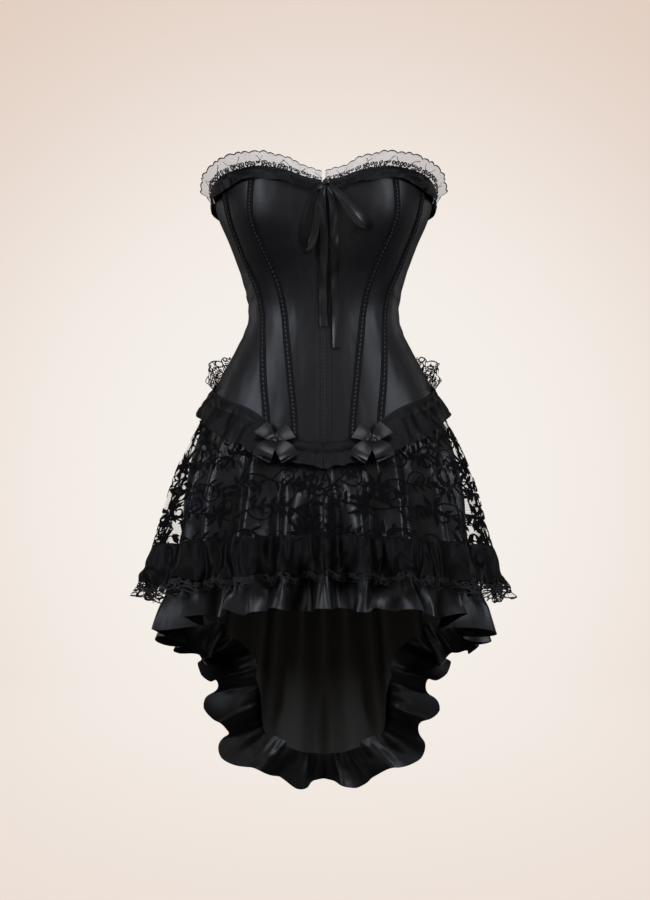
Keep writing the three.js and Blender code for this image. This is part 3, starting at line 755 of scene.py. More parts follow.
def waist_crease(angle, level):
    """Soft creases that run round from the side seams at the waist, where the cloth bends most."""
    off_side = abs(angle) - 84
    slope = level + 0.22 * off_side * (1 if angle > 0 else 0.8)
    lines = math.sin(slope / 3.6 + 1.5 * uneven(angle / 14, level / 30, 3))
    return bell(off_side, 0, 20) * bell(level, 8, 46) * lines * (0.6 + 0.4 * uneven(angle / 9, level / 12, 5))


def panel_ripple(angle, level):
    """The slight unevenness of boned cloth: long shallow hollows between the bones."""
    return 0.35 * uneven(angle / 7, level / 60, 1) + 0.18 * uneven(angle / 4, level / 22, 2)


def bodice_point(angle, level, height=0.0):
    detail = panel_ripple(angle, level) + sizes().crease_depth / MM * waist_crease(angle, level)
    return raised(corset_radius, angle, level, height + detail - PANEL_SINK)


# The panels of a half: name, from seam, to seam, and the cut's width and length in metres
PANELS = (
    ("front", "front", "princess", 0.095, 0.390),
    ("side_front", "princess", "side_front", 0.050, 0.380),
    ("side", "side_front", "side", 0.070, 0.350),
    ("side_back", "side", "side_back", 0.125, 0.275),
    ("back", "side_back", "back", 0.087, 0.230),
)
# How much of its rectangle a shaped panel has, how wide a column is, and the dip where cloth goes into a seam
PANEL_SHARE = 0.85
PANEL_COLUMN = 0.0035
SEAM_DIP = 0.6
SEAM_DIP_REACH = 0.0022


class MakeBodice(bpy.types.Operator):
    """Makes the ten boned panels of the bodice"""

    bl_idname = "corset_dress.make_bodice"
    bl_label = "Make bodice"

    def execute(self, context):
        for name, start, end, width, length in PANELS:
            for side, word in SIDES:
                first = beside(SEAM_LINES[start], SEAM / 2)
                last = beside(SEAM_LINES[end], -SEAM / 2)

                def at(u, v):
                    share = u if side > 0 else 1 - u
                    angle, level = on_line(lambda level: lerp(first(level), last(level), share), v)
                    dip = SEAM_DIP * math.exp(-min(share, 1 - share) * width / SEAM_DIP_REACH)
                    return bodice_point(side * angle, level, -dip)

                grid = max(12, round(width / PANEL_COLUMN)), round(length / sizes().bodice_step)
                sew(f"panel_{name}_{word}", at, grid, (width, length), panel_satin(),
                    sizes().bodice_wall - RELIEF, f"corset_{name}_{word}", "panel_satin", "stretched",
                    lining=lining_twill(), area=PANEL_SHARE * width * length)
        return {"FINISHED"}


def tape_height(share):
    """Height of a tape's face across its width: a cord near each edge and a groove down the middle."""
    return 0.60 * bell(abs(share - 0.5), 0.32, 0.10) - 0.20 * bell(share, 0.5, 0.07)


# A tape's wall, the length of a row of its grid and the length of its cords' twist, in metres
TAPE_WALL = 0.0006
TAPE_ROW = 0.0024
TAPE_TWIST = 0.0034


def tape(name, seam, low, high, side, node_name, length, cloth, relief=1.0):
    """A tape over a seam, from low to high millimetres round from it, with its cords' relief."""
    line = SEAM_LINES[seam]
    middle = line(hem_edge(0))
    whole = top_edge(middle) - hem_edge(middle)
    v_top, v_end = TAPE_INSET / whole, 1 - (HIP_FRILL_HEADING + TAPE_INSET) / whole

    def at(u, v):
        share = u if side > 0 else 1 - u
        angle, level = on_line(beside(line, lerp(low, high, share)), lerp(v_top, v_end, v))
        edge = smoothstep(min(share, 1 - share), 0, 0.08)
        cords = tape_height(share) + 0.14 * math.sin(v * length / TAPE_TWIST * 2 * math.pi)
        return bodice_point(side * angle, level, 0.5 + edge * (TAPE - 0.55 + relief * cords))

    width = (high - low) * MM
    sew(name, at, (12, round(length / TAPE_ROW)), lambda u, v: ((u - 0.5) * width, v * length), cloth,
        TAPE_WALL, node_name, "braid", "stretched", 60, flat=(width, length))


class MakeTapes(bpy.types.Operator):
    """Makes the braids over the seams and the two plackets that meet at the centre front"""

    bl_idname = "corset_dress.make_tapes"
    bl_label = "Make tapes"

    def execute(self, context):
        half = TAPE_WIDTH / 2
        for side, word in SIDES:
            for seam, length in (("princess", 0.372), ("side_front", 0.340), ("side_back", 0.205)):
                name = f"{seam}_{word}"
                tape(f"braid_{name}", seam, -half, half, side, f"tape_{name}", length, gimp_braid())
            tape(f"placket_{word}", "front", -PLACKET_LAP, PLACKET_WIDTH, side, f"placket_front_{word}",
                 0.365, placket_sateen(), 0.15)
        tape("braid_centre_back", "back", -half, half, 1, "tape_centre_back", 0.205, gimp_braid())
        return {"FINISHED"}


def scallop(share, count, dip):
    """How much of its height a lace has along its scalloped edge, where dip is lost between two scallops."""
    return 1 - dip + dip * abs(math.sin(math.pi * count * share)) ** 0.7


def standing(angle, radius, foot, up, wave, lean):
    """A point of a lace that stands up from its foot and leans outwards, with a wave across it."""
    radius += up * math.sin(lean) + wave * math.cos(lean)
    return place(angle, radius, foot + up * math.cos(lean) - wave * math.sin(lean))


class MakeNeckTrim(bpy.types.Operator):
    """Makes the gathered frill and the standing lace along the top edge"""

    bl_idname = "corset_dress.make_neck_trim"
    bl_label = "Make neck trim"

    def execute(self, context):
        for side, word in SIDES:
            angle_at = span(1.2, 179.5, side)

            def frill(u, v):
                angle = angle_at(u)
                share = abs(angle) / 180
                bunch = bell(abs(angle), 68, 17)
                depth = NECK_FRILL_DEPTH * (0.84 + 0.50 * bunch + 0.07 * gather(share, 5, 2)
                                            + 0.08 * uneven(angle / 11, 0, side))
                level = top_edge(angle) + 2.2 - (depth + 2.2) * v
                calm = smoothstep(abs(angle), 5, 35)
                stand = 2 * SEAM + NET + TAPE + (2.5 + 2.5 * bunch) * smoothstep(v, 0, 0.4)
                wave = v * (0.5 + 2.2 * calm) * gather(share, NECK_FRILL_WAVES, 0)
                fine = (0.15 + 0.35 * v) * calm * uneven(angle / 3.2, v * 0.8, 11 + side)
                roll = 6 * v + 0.45 * abs(angle) + 2.6 * uneven(angle / 13, v * 0.9, 4 + side)
                crush = (0.35 + 1.4 * bunch) * math.sin(roll) * smoothstep(v, 0.05, 0.35)
                return raised(corset_radius, angle, level, stand + wave + fine + crush)

            on_front = [f"panel_front_{word}"]
            sew(f"neck_frill_strip_{word}", frill, (420, 12), (0.60, 0.017), chiffon(), sizes().net_wall,
                f"neck_frill_{word}", "chiffon", "gathered", rests_on=on_front)
            lace_angle = span(1.2, 179.8, side)

            def lace_edge(u, v):
                angle = lace_angle(u)
                share = abs(angle) / 180
                top = top_edge(angle)
                lean = math.radians(lace_lean(angle))
                up = lace_height(angle) * (1 - v) * scallop(share, 36, 0.12)
                up *= 1 + 0.04 * uneven(angle / 9, 0, 7 + side)
                wave = 2.4 * (1 - v) * gather(share, NECK_LACE_WAVES, 1)
                wave += 0.5 * (1 - v) * uneven(angle / 4, v, 9 + side)
                radius = corset_radius(angle, top) - COUTIL / 2 + NET / 2
                foot = top + 2 * SEAM + NET * math.sin(lean)
                return standing(angle, radius, foot, up, wave, lean)

            sew(f"neck_lace_strip_{word}", lace_edge, (480, 10), (0.60, 0.024), neck_lace_cloth(),
                sizes().net_wall * LACE_SHARE, f"neck_lace_{word}", "lace", "gathered", flat=(0.56, 0.021),
                rests_on=on_front)
        return {"FINISHED"}


def cover_radius(angle, level):
    """Radius that clears both the corset and the net overskirt."""
    return max(corset_radius(angle, max(level, hem_edge(angle))), net_radius(angle, level))


class MakeHipTrim(bpy.types.Operator):
    """Makes the pointed frill over the bodice's hem and the lace that stands at the hips"""

    bl_idname = "corset_dress.make_hip_trim"
    bl_label = "Make hip trim"

    def execute(self, context):
        for side, word in SIDES:
            angle_at = span(0.2, 179.8, side)

            def frill(u, v):
                angle = angle_at(u)
                share = abs(angle) / 180
                drop = hip_frill_drop(angle) * (1 + 0.05 * uneven(angle / 5, 0, 21 + side))
                level = hem_edge(angle) + HIP_FRILL_HEADING - drop * v
                calm = smoothstep(abs(angle), 38, 60)
                stand = 2 * SEAM + NET + 3.5 * smoothstep(v, 0, 0.35) + lerp(1.5, 3, calm) * v
                wave = v * v * 3 * lerp(0.15, 1, calm) * gather(share, HIP_FRILL_WAVES, 2.2)
                fine = (0.1 + 0.25 * calm) * (0.3 + v) * uneven(angle / 2.6 + 3 * v, v * 0.7, 23 + side)
                swirl = 0.50 * angle + 4.5 * v + 3.0 * uneven(angle / 14, v * 1.1, 25 + side)
                cross = 0.80 * angle - 7 * v + 3.0 * uneven(angle / 9, v * 1.6, 27 + side)
                fold = (0.35 + calm) * (math.sin(swirl) + 0.6 * math.sin(cross)) * smoothstep(v, 0.04, 0.3)
                return raised(cover_radius, angle, level, stand + wave + fine + fold)

            sew(f"hip_frill_strip_{word}", frill, (400, 20), (0.60, 0.044), chiffon(), sizes().net_wall,
                f"hip_frill_{word}", "chiffon", "gathered", rests_on=[f"panel_front_{word}"])
            lace_angle = span(HIP_LACE_START, 179.8, side)

            def lace_edge(u, v):
                angle = lace_angle(u)
                share = (abs(angle) - HIP_LACE_START) / (179.8 - HIP_LACE_START)
                foot = hem_edge(angle) + HIP_FRILL_HEADING + 2 * SEAM
                start = lerp(0.45, 1, smoothstep(share, 0, 0.14))
                up = HIP_LACE_HEIGHT * (1 - v) * scallop(share, 14, 0.16) * start
                wave = 6 * (1 - v) * gather(share, HIP_LACE_WAVES, 0.4)
                wave += 2.4 * (1 - v) * uneven(angle / 3.5, v, 31 + side)
                radius = corset_radius(angle, foot) + 3 * SEAM + NET
                return standing(angle, radius, foot, up, wave, math.radians(HIP_LACE_LEAN))

            sew(f"hip_lace_strip_{word}", lace_edge, (260, 12), (0.34, 0.032), trim_lace_cloth(),
                sizes().net_wall * LACE_SHARE, f"hip_lace_{word}", "lace", "gathered", flat=(0.30, 0.030),
                rests_on=[f"panel_side_{word}"])
        return {"FINISHED"}


def skirt_level(angle, row):
    """Level of a row of either skirt: -1 is its top edge, 0 the hem, 1 the net's edge, 2 the satin's edge."""
    hem = hem_edge(angle)
    if row < 0:
        return hem - HEM_TUCK - (SKIRT_HEADING + HEM_TUCK) * row
    if row <= 1:
        return lerp(hem - HEM_TUCK, net_end(angle), row)
    return lerp(net_end(angle), satin_end(angle), row - 1)


def skirt_detail(angle, level, seed, second_depth):
    """What a hanging skirt adds to its even folds: fine gathers under the hem, and folds that wander."""
    drop = max(hem_edge(angle) - level, 0)
    wander = sizes().fold_shift / MM * smoothstep(drop, 10, 160) * uneven(angle / 21, level / 120, seed)
    phase = FOLDS * 2 * math.radians(angle) + 2.2 * uneven(angle / 30, level / 160, seed + 1)
    second = second_depth * smoothstep(drop, 5, 60) * math.cos(phase)
    under_hem = smoothstep(drop, 0, 40) * (1 - smoothstep(drop, 20, 110))
    return wander + second + 1.3 * under_hem * uneven(angle / 1.6, level / 90, seed + 2)


def heading_lift(angle, level):
    """How far up its heading a skirt is, from 0 to 1, where it leans out to the corset's lining."""
    return smoothstep(level - hem_edge(angle), 2, 12)


def net_face(angle, level):
    angle = wrapped(angle)
    detail = skirt_detail(angle, level, 41, 1.6)
    return net_radius(angle, level) + detail + NET_LIFT * heading_lift(angle, level)


def satin_face(angle, level):
    """The satin's folds are the net's, with deeper valleys between them."""
    angle = wrapped(angle)
    valley = (0.5 - 0.5 * fold_wave(angle)) ** 1.3 * smoothstep(max(hem_edge(angle) - level, 0), 15, 130)
    return (satin_radius(angle, level) + 0.8 * skirt_detail(angle, level, 51, 1.0)
            - VALLEY * valley + SATIN_LIFT * heading_lift(angle, level))


# The four panels of a skirt: name, where each starts and ends round the body
SKIRT_PANELS = (
    ("front", -FRONT_SEAM_ANGLE, FRONT_SEAM_ANGLE),
    ("side_left", FRONT_SEAM_ANGLE, BACK_SEAM_ANGLE),
    ("side_right", -BACK_SEAM_ANGLE, -FRONT_SEAM_ANGLE),
    ("back", BACK_SEAM_ANGLE, 360 - BACK_SEAM_ANGLE),
)
# The cuts of a skirt's panels in the same order: width, length, and area where it isn't a rectangle
SATIN_CUTS = ((0.37, 0.19, None), (0.34, 0.32, 0.098), (0.34, 0.32, 0.098), (0.42, 0.55, 0.195))
NET_CUTS = ((0.39, 0.15, None), (0.36, 0.24, 0.080), (0.36, 0.24, 0.080), (0.43, 0.27, 0.108))
# How far two panels of a skirt lap, in degrees
PANEL_LAP = math.degrees(SEAM / 400)


def skirt_panels(word, node_word, face, last_row, cloth, lining, wall, slot, cuts, row_step, column_step):
    """Makes a skirt's panels, from its top edge to a last row, in rows of so many metres and degrees."""
    for (name, start, end), (width, length, area) in zip(SKIRT_PANELS, cuts):
        def at(u, v):
            angle = lerp(start - PANEL_LAP, end + PANEL_LAP, u)
            level = skirt_level(wrapped(angle), lerp(-1, last_row, v ** 0.92))
            return place(angle, face(angle, level), level)

        grid = round((end - start) / column_step), round(length / row_step)
        sew(f"{word}_{name}", at, grid, (width, length), cloth, wall, f"{node_word}_{name}", slot, "gathered",
            70, lining, rests_on=["panel_front_left", "panel_front_right"], area=area)


class MakeSatinSkirt(bpy.types.Operator):
    """Makes the four panels of the satin skirt, short in front and long behind"""

    bl_idname = "corset_dress.make_satin_skirt"
    bl_label = "Make satin skirt"

    def execute(self, context):
        skirt_panels("satin_panel", "satin_skirt", satin_face, 2, skirt_satin(), skirt_lining(),
                     sizes().satin_wall, "skirt_satin", SATIN_CUTS, 0.005, 0.7)
        return {"FINISHED"}


class MakeNetOverskirt(bpy.types.Operator):
    """Makes the four panels of the net overskirt"""

    bl_idname = "corset_dress.make_net_overskirt"
    bl_label = "Make net overskirt"

    def execute(self, context):
        skirt_panels("net_panel", "net_overskirt", net_face, 1, tulle(), None, sizes().net_wall,
                     "flocked_net", NET_CUTS, 0.006, 0.8)
        return {"FINISHED"}


# The flocked vine

@cache
def net_lengths():
    """Distance travelled along the net's lower part, from the centre back round to each half degree."""
    points = []
    for step in range(721):
        angle = 180 + step * 0.5
        level = net_end(wrapped(angle)) + VINE_TRACK
        points.append(place(angle, net_face(angle, level), level))
    lengths = [0.0]
    for before, after in zip(points, points[1:]):
        lengths.append(lengths[-1] + (after - before).length)
    return lengths


def net_angle(distance):
    """Angle at which the net's lower part has travelled a distance."""
    lengths = net_lengths()
    low, high = 0, 720
    while high - low > 1:
        middle = (low + high) // 2
        if lengths[middle] < distance:
            low = middle
        else:
            high = middle
    share = (distance - lengths[low]) / max(lengths[high] - lengths[low], 1e-6)
    return 180 + 0.5 * (low + share)


def on_net(distance, up):
    """A point just above the net, from a distance round it and a height above its lower edge."""
    whole = net_lengths()[-1]
    angle = net_angle(distance % whole)
    around = wrapped(angle)
    level = net_end(around) + 0.93 * up
    if level > hem_edge(around) - VINE_TOP or up < 1:
        return None, around
    return place(angle, net_face(angle, level) + VINE_HEIGHT, level), around


def leaf(x, y, turn, length, width):
    """A leaf's outline as pairs of points across it, from its foot to its tip."""
    along = Vector((math.cos(turn), math.sin(turn)))
    across = Vector((-along.y, along.x))
    pairs = []
    for i in range(6):
        t = i / 5
        half = 0.5 * width * (math.sin(math.pi * t ** 0.8) * (1 - 0.15 * t) + 0.04)
        centre = Vector((x, y)) + along * length * t + across * 0.12 * length * math.sin(math.pi * t) * 0.5
        pairs.append((centre + across * half, centre - across * half))
    return pairs


def stem(points, width, tip=0.5):
    """A stem through points, tapering towards its end, as pairs of points across it."""
    pairs = []
    for i, point in enumerate(points):
        before, after = points[max(i - 1, 0)], points[min(i + 1, len(points) - 1)]
        along = (after - before).normalized()
        across = Vector((-along.y, along.x)) * 0.5 * lerp(width, width * tip, i / (len(points) - 1))
        pairs.append((point + across, point - across))
    return pairs


def scroll(x, y, turn, size, hand):
    """A stem that leaves at a turn and curls up into a spiral."""
    points = []
    spot = Vector((x, y))
    heading = turn
    for i in range(26):
        points.append(spot.copy())
        share = i / 25
        spot = spot + Vector((math.cos(heading), math.sin(heading))) * size * lerp(0.24, 0.10, share)
        heading += hand * lerp(0.10, 0.62, share)
    return points


def palm(flip):
    """A star of slim pointed leaves, and a stem with single leaves leading away from it; in millimetres."""
    shapes = []
    for turn, length in ((0.6, 19), (1.5, 23), (2.4, 20), (3.2, 24), (4.2, 20), (5.3, 21)):
        foot = Vector((math.cos(turn), flip * math.sin(turn))) * 2
        shapes.append(leaf(foot.x, foot.y, flip * turn, length, 6.4))
    run = [Vector((2.5 + 5.2 * i, flip * (-1.5 + 9 * math.sin(i / 2.3)))) for i in range(8)]
    shapes.append(stem(run, 2.4, 0.8))
    for i, way, length in ((2, 1, 14), (4, -1, 17), (6, 1, 14), (7, -1, 15)):
        ahead = run[i] - run[i - 1]
        heading = math.atan2(ahead.y, ahead.x)
        shapes.append(leaf(run[i].x, run[i].y, heading + way * 0.9, length, 5.6))
    return shapes


def sprig(flip):
    """A scroll whose stem goes on as a twig with leaves on both sides; in millimetres."""
    curl = scroll(-9, flip * 1.5, math.pi - flip * 0.5, 26, flip)
    small = scroll(-5, flip * 1.0, flip * 1.1, 18, -flip)
    shapes = [stem(curl, 2.5, 1.0), stem(small, 2.3, 0.9)]
    twig = [Vector((-11 + 6.4 * i, flip * (2.5 - 6 * math.sin(i / 3.1)))) for i in range(9)]
    shapes.append(stem(twig, 2.4, 0.7))
    for i in range(2, 9):
        ahead = twig[i] - twig[i - 1]
        heading = math.atan2(ahead.y, ahead.x)
        way = flip if i % 2 else -flip
        shapes.append(leaf(twig[i].x, twig[i].y, heading + way * 0.85, 13 + 1.5 * (i % 3), 5.5))
    shapes.append(leaf(twig[-1].x, twig[-1].y, -0.2 * flip, 13, 5.2))
    for turn in (1.7, 2.6, 4.1):
        shapes.append(leaf(-20 + 3 * math.cos(turn), flip * (-17 + 3 * math.sin(turn)), flip * turn, 14, 5.4))
    return shapes


class MakeVines(bpy.types.Operator):
    """Lays the flocked vines on the net overskirt"""

    bl_idname = "corset_dress.make_vines"
    bl_label = "Make vines"

    def execute(self, context):
        whole = net_lengths()[-1]
        count = round(whole / (sizes().vine_width / MM))
        stretch = whole / (count * sizes().vine_width / MM)
        patterns = {(kind, flip): make(flip) for kind, make in ((0, palm), (1, sprig)) for flip in (1, -1)}
        points = {name: [] for name, _, _ in SKIRT_PANELS}
        faces = {name: [] for name in points}
        for row in range(VINE_ROWS):
            for index in range(count):
                kind = (index + row) % 2
                flip = 1 if (index // 2 + row) % 2 else -1
                tilt = 0.55 * uneven(index * 1.7, row * 2.3, 61)
                size = 1.0 + 0.10 * uneven(index * 2.9, row * 1.1, 62)
                middle_x = (index + 0.5 * (row % 2)) * sizes().vine_width / MM * stretch
                middle_y = 12 + row * sizes().vine_row / MM + 9 * uneven(index * 1.3, row * 1.9, 63)
                turned = Matrix.Rotation(tilt, 2)
                for pairs in patterns[kind, flip]:
                    laid = []
                    for pair in pairs:
                        spots = []
                        for corner in pair:
                            moved = turned @ corner * size
                            spots.append(on_net(middle_x + moved.x * stretch, middle_y + moved.y))
                        (left, around), (right, _) = spots
                        laid.append(None if left is None or right is None else (left, right, around))
                    if len(pairs) < 8 and any(spot is None for spot in laid):
                        continue
                    here = next((spot[2] for spot in laid if spot), None)
                    if here is None:
                        continue
                    name = ("front" if abs(here) < FRONT_SEAM_ANGLE else "back" if abs(here) > BACK_SEAM_ANGLE
                            else "side_left" if here > 0 else "side_right")
                    for before, after in zip(laid, laid[1:]):
                        if before is None or after is None:
                            continue
                        base = len(points[name])
                        points[name] += [before[0], before[1], after[1], after[0]]
                        faces[name].append((base, base + 1, base + 2, base + 3))
        for name in points:
            mesh = bpy.data.meshes.new(f"vines_{name}")
            mesh.from_pydata([point * MM for point in points[name]], [], faces[name])
            mesh.materials.append(flock())
            piece = bpy.data.objects.new(mesh.name, mesh)
            bpy.context.scene.collection.objects.link(piece)
            apply_modifier(piece, "WELD", merge_threshold=0.00002)
            face_outwards(piece)
            apply_modifier(piece, "SOLIDIFY", thickness=FLOCK, offset=0)
            finish_piece(piece, [], 60)
        return {"FINISHED"}


def face_outwards(piece):
    """Turns each face that looks inwards, towards the body's axis."""
    mesh = piece.data
    for face in mesh.polygons:
        outward = Vector((face.center.x, face.center.y, 0))
        if face.normal.dot(outward) < 0:
            face.flip()
    mesh.update()


# Gathered strips along the skirts' lower edges

def gathered_strip(base_radius, face, end_at, waves, wave_depth, spread, depth):
    """A strip gathered along a skirt's lower edge: it carries on the cloth's slope, square to the edge."""
    def calm(angle, level):
        around = wrapped(angle)
        return place(angle, base_radius(around, level) - FOLD_DEPTH * fold_wave(around), level)

    def edge(angle):
        return end_at(wrapped(angle))

    samples = 360
    lengths = [0.0]
    for i in range(1, samples + 1):
        before, after = 180 * (i - 1) / samples, 180 * i / samples
        lengths.append(lengths[-1] + (calm(after, end_at(after)) - calm(before, end_at(before))).length)

    def travelled(angle):
        at = clamp(angle, 0, 180) / 180 * samples
        i = min(int(at), samples - 1)
        return lerp(lengths[i], lengths[i + 1], at - i) / lengths[samples]

    @lru_cache(maxsize=5000)
    def stand(angle):
        level = edge(angle)
        along = (calm(angle + 2, edge(angle + 2)) - calm(angle - 2, edge(angle - 2))).normalized()
        fall = (calm(angle, level - 4) - calm(angle, level + 4)).normalized()
        normal = fall.cross(along).normalized()
        down = along.cross(normal).normalized()
        radius = face(angle, level)
        root = place(angle, radius, level)
        # The cloth itself a little way in from its edge, where the strip is sewn on
        turn = math.radians(angle)
        round_body = Vector((math.cos(turn), math.sin(turn), 0))
        inner_angle = angle - math.degrees(down.dot(round_body) * TUCK / radius)
        inner_level = level - down.z * TUCK
        inward = place(inner_angle, face(inner_angle, inner_level), inner_level) - root
        return root, along, normal, down, inward, travelled(abs(angle))

    def at(angle, distance, ripple):
        root, along, normal, down, inward, share_round = stand(angle)
        share = distance / depth
        side = 1 if angle >= 0 else -1
        turn = 2 * math.pi * waves * share_round
        out, sway, longer = ripple(angle, share, turn)
        out += 0.9 * (1 - smoothstep(share, 0.02, 0.15))
        return (root + down * (max(distance, 0) * longer + STRIP_GAP)
                + inward * (clamp(1 - share * 4, 0, 1) + max(-distance, 0) / TUCK)
                + normal * (math.sin(turn) * wave_depth * share + spread * share + out)
                + along * side * (math.sin(2 * turn) * wave_depth * 0.22 * share + sway))

    return at


def ruffle_ripple(angle, share, turn):
    """Folds of the satin ruffle: close gathers at its seam, and broad rounded flutes that lean over. It gives
    how far out and how far along a point moves, and how much longer the ruffle is there."""
    around = abs(angle)
    side = 3 if angle < 0 else 0
    free = smoothstep(around, 0, 7) * (1 - smoothstep(around, 172, 180))
    near_seam = smoothstep(share, 0, 0.10) * (1 - smoothstep(share, 0.25, 0.9))
    fine = 2.1 * near_seam * uneven(turn * 1.3, share * 0.7, 71 + side)
    flute = 7 * smoothstep(share, 0.1, 1) * uneven(turn / 2.6, share * 0.5, 72 + side)
    dent = 2.2 * smoothstep(share, 0.15, 0.5) * uneven(turn / 1.5, share * 1.6, 73 + side)
    sway = 6 * share * uneven(turn / 3.4, share * 0.7, 74 + side)
    lobe = ruffle_lobe(around) * (1 - 2 * abs(math.cos(turn / 2)) ** 1.4)
    longer = ruffle_reach(around) + lobe + 0.11 * free * uneven(turn / 2.6, 0, 75 + side)
    # At the sides it hangs straighter and a little lower
    hang = bell(around, 92, 26)
    return free * (fine + flute + dent) - 9 * share * share * hang, free * sway, longer + 0.16 * hang


def frill_ripple(angle, share, turn):
    """Folds of the net's frill: close gathers at its seam that open into small uneven waves.
    It gives the same three measures as the ruffle's folds."""
    side = 6 if angle < 0 else 0
    fine = 1.4 * smoothstep(share, 0, 0.1) * (1 - 0.5 * min(share, 1)) * uneven(turn, share * 0.8, 81 + side)
    soft = 4.6 * min(share, 1.2) * uneven(turn / 1.9, share * 0.9, 82 + side)
    at_side = 1 + 0.8 * bell(abs(angle), 90, 14)
    pleat = math.sin(2.3 * turn + 3.5 * uneven(turn / 2.5, share * 0.8, 83 + side))
    cross = math.sin(7 * share + 1.4 * turn + 3 * uneven(turn / 2, share, 86 + side))
    crush = 1.7 * pleat * smoothstep(share, -0.1, 0.2) + 1.1 * cross * smoothstep(share, 0, 0.5)
    sway = 3.4 * share * uneven(turn / 2, share, 84 + side)
    return fine + soft + at_side * crush, sway, 1 + 0.14 * uneven(turn / 2.2, 0, 85 + side)


class MakeSkirtTrims(bpy.types.Operator):
    """Makes the satin ruffle, the net's frill and the lace along their lower edges"""

    bl_idname = "corset_dress.make_skirt_trims"
    bl_label = "Make skirt trims"

    def execute(self, context):
        ruffle = gathered_strip(satin_radius, satin_face, satin_end, RUFFLE_WAVES, RUFFLE_WAVE_DEPTH,
                                RUFFLE_SPREAD, RUFFLE_DEPTH)
        frill = gathered_strip(net_radius, net_face, net_end, NET_FRILL_WAVES, NET_FRILL_WAVE_DEPTH,
                               NET_FRILL_SPREAD, NET_FRILL_DEPTH)
        for side, word in SIDES:
            # Each half runs a little past the centre front and back, so that no gap shows
            ruffle_at = span(-0.35, 180.35, side)
            net_at = span(-0.3, 180.3, side)

            def ruffle_strip(u, v):
                return ruffle(ruffle_at(u), v * RUFFLE_DEPTH, ruffle_ripple)

            def frill_strip(u, v):
                angle = net_at(u)
                heading = 4 + 3.5 * uneven(angle / 4, 0, 87)
                return frill(angle, lerp(-heading, NET_FRILL_DEPTH, v), frill_ripple)

            def lace_strip(u, v):
                angle = net_at(u)
                wide = NET_LACE_DEPTH * lerp(0.55, 1, smoothstep(abs(angle), 30, 75))
                reach = wide * v * scallop(abs(angle) / 180, 44, 0.14)
                return frill(angle, NET_FRILL_DEPTH + SEAM + reach, frill_ripple)

            sew(f"ruffle_{word}", ruffle_strip, (660, 20), (1.35, 0.054), ruffle_satin(), sizes().satin_wall,
                f"satin_ruffle_{word}", "skirt_satin", "gathered", 70,
                rests_on=["satin_panel_front", "satin_panel_back"])
            sew(f"net_frill_strip_{word}", frill_strip, (560, 18), (0.95, 0.042), skirt_chiffon(),
                sizes().net_wall, f"net_frill_{word}", "chiffon", "gathered", 70,
                rests_on=["net_panel_front", "net_panel_back"])
            sew(f"net_lace_strip_{word}", lace_strip, (560, 10), lambda u, v: (u * 0.95, (1 - v) * 0.022),
                trim_lace_cloth(), sizes().net_wall * LACE_SHARE, f"net_lace_{word}", "lace", "gathered", 70,
                flat=(0.95, 0.020), rests_on=[f"net_frill_strip_{word}"])
        return {"FINISHED"}


# Bows

def ribbon_along(name, spot, table, count, ripple):
    """A ribbon through the rows of a table, where spot(across, level, height) gives a point of the dress."""
    rows = [(i / (len(table) - 1), *row) for i, row in enumerate(table)]
    across, level, height, width, turn = (curve(rows, i) for i in range(1, 6))
    length = sum((spot(*b[:3]) - spot(*a[:3])).length for a, b in zip(table, table[1:])) * MM

    def middle(t):
        return spot(across(t), level(t), height(t))

    def at(u, v):
        t = clamp(u, 0.004, 0.996)
        run = (middle(t + 0.004) - middle(t - 0.004)).normalized()
        up = spot(across(t), level(t), height(t) + 1) - middle(t)
        side = run.cross(up).normalized()
        side = Matrix.Rotation(math.radians(turn(t)), 3, run) @ side
        out = run.cross(side).normalized()
        return middle(u) + side * width(t) * (v - 0.5) + out * ripple(u, v - 0.5, width(t))

    piece = new_grid(name, at, count, 10, (length, max(row[3] for row in table) * MM))
    piece.data.materials.append(ribbon_satin())
    return piece, length


def knot(name, spot, size):
    """A small tied knot: a rounded lump with the ribbon's folds across it."""
    deselect()
    bpy.ops.mesh.primitive_uv_sphere_add(segments=32, ring_count=20, radius=1)
    piece = bpy.context.active_object
    piece.name = name
    across, level, height, wide, tall, deep = size
    centre = spot(across, level, height)
    for vertex in piece.data.vertices:
        x, y, z = vertex.co
        crease = 1 - 0.10 * abs(math.sin(2.3 * x + 0.4)) - 0.08 * abs(math.sin(4 * z + 2 * x))
        vertex.co = (centre + Vector((x * wide, y * deep, z * tall)) * crease) * MM
    piece.data.materials.append(ribbon_satin())
    return piece


def make_bow(name, spot, ribbons, size, count, ripple, nodes):
    pieces = [knot(name, spot, size)]
    total = 0
    for i, table in enumerate(ribbons):
        piece, length = ribbon_along(f"{name}_{i}", spot, table, count, ripple)
        thicken(piece, sizes().ribbon_wall)
        pieces.append(piece)
        total += length
    whole = joined(pieces)
    finish_piece(whole, nodes, 60)


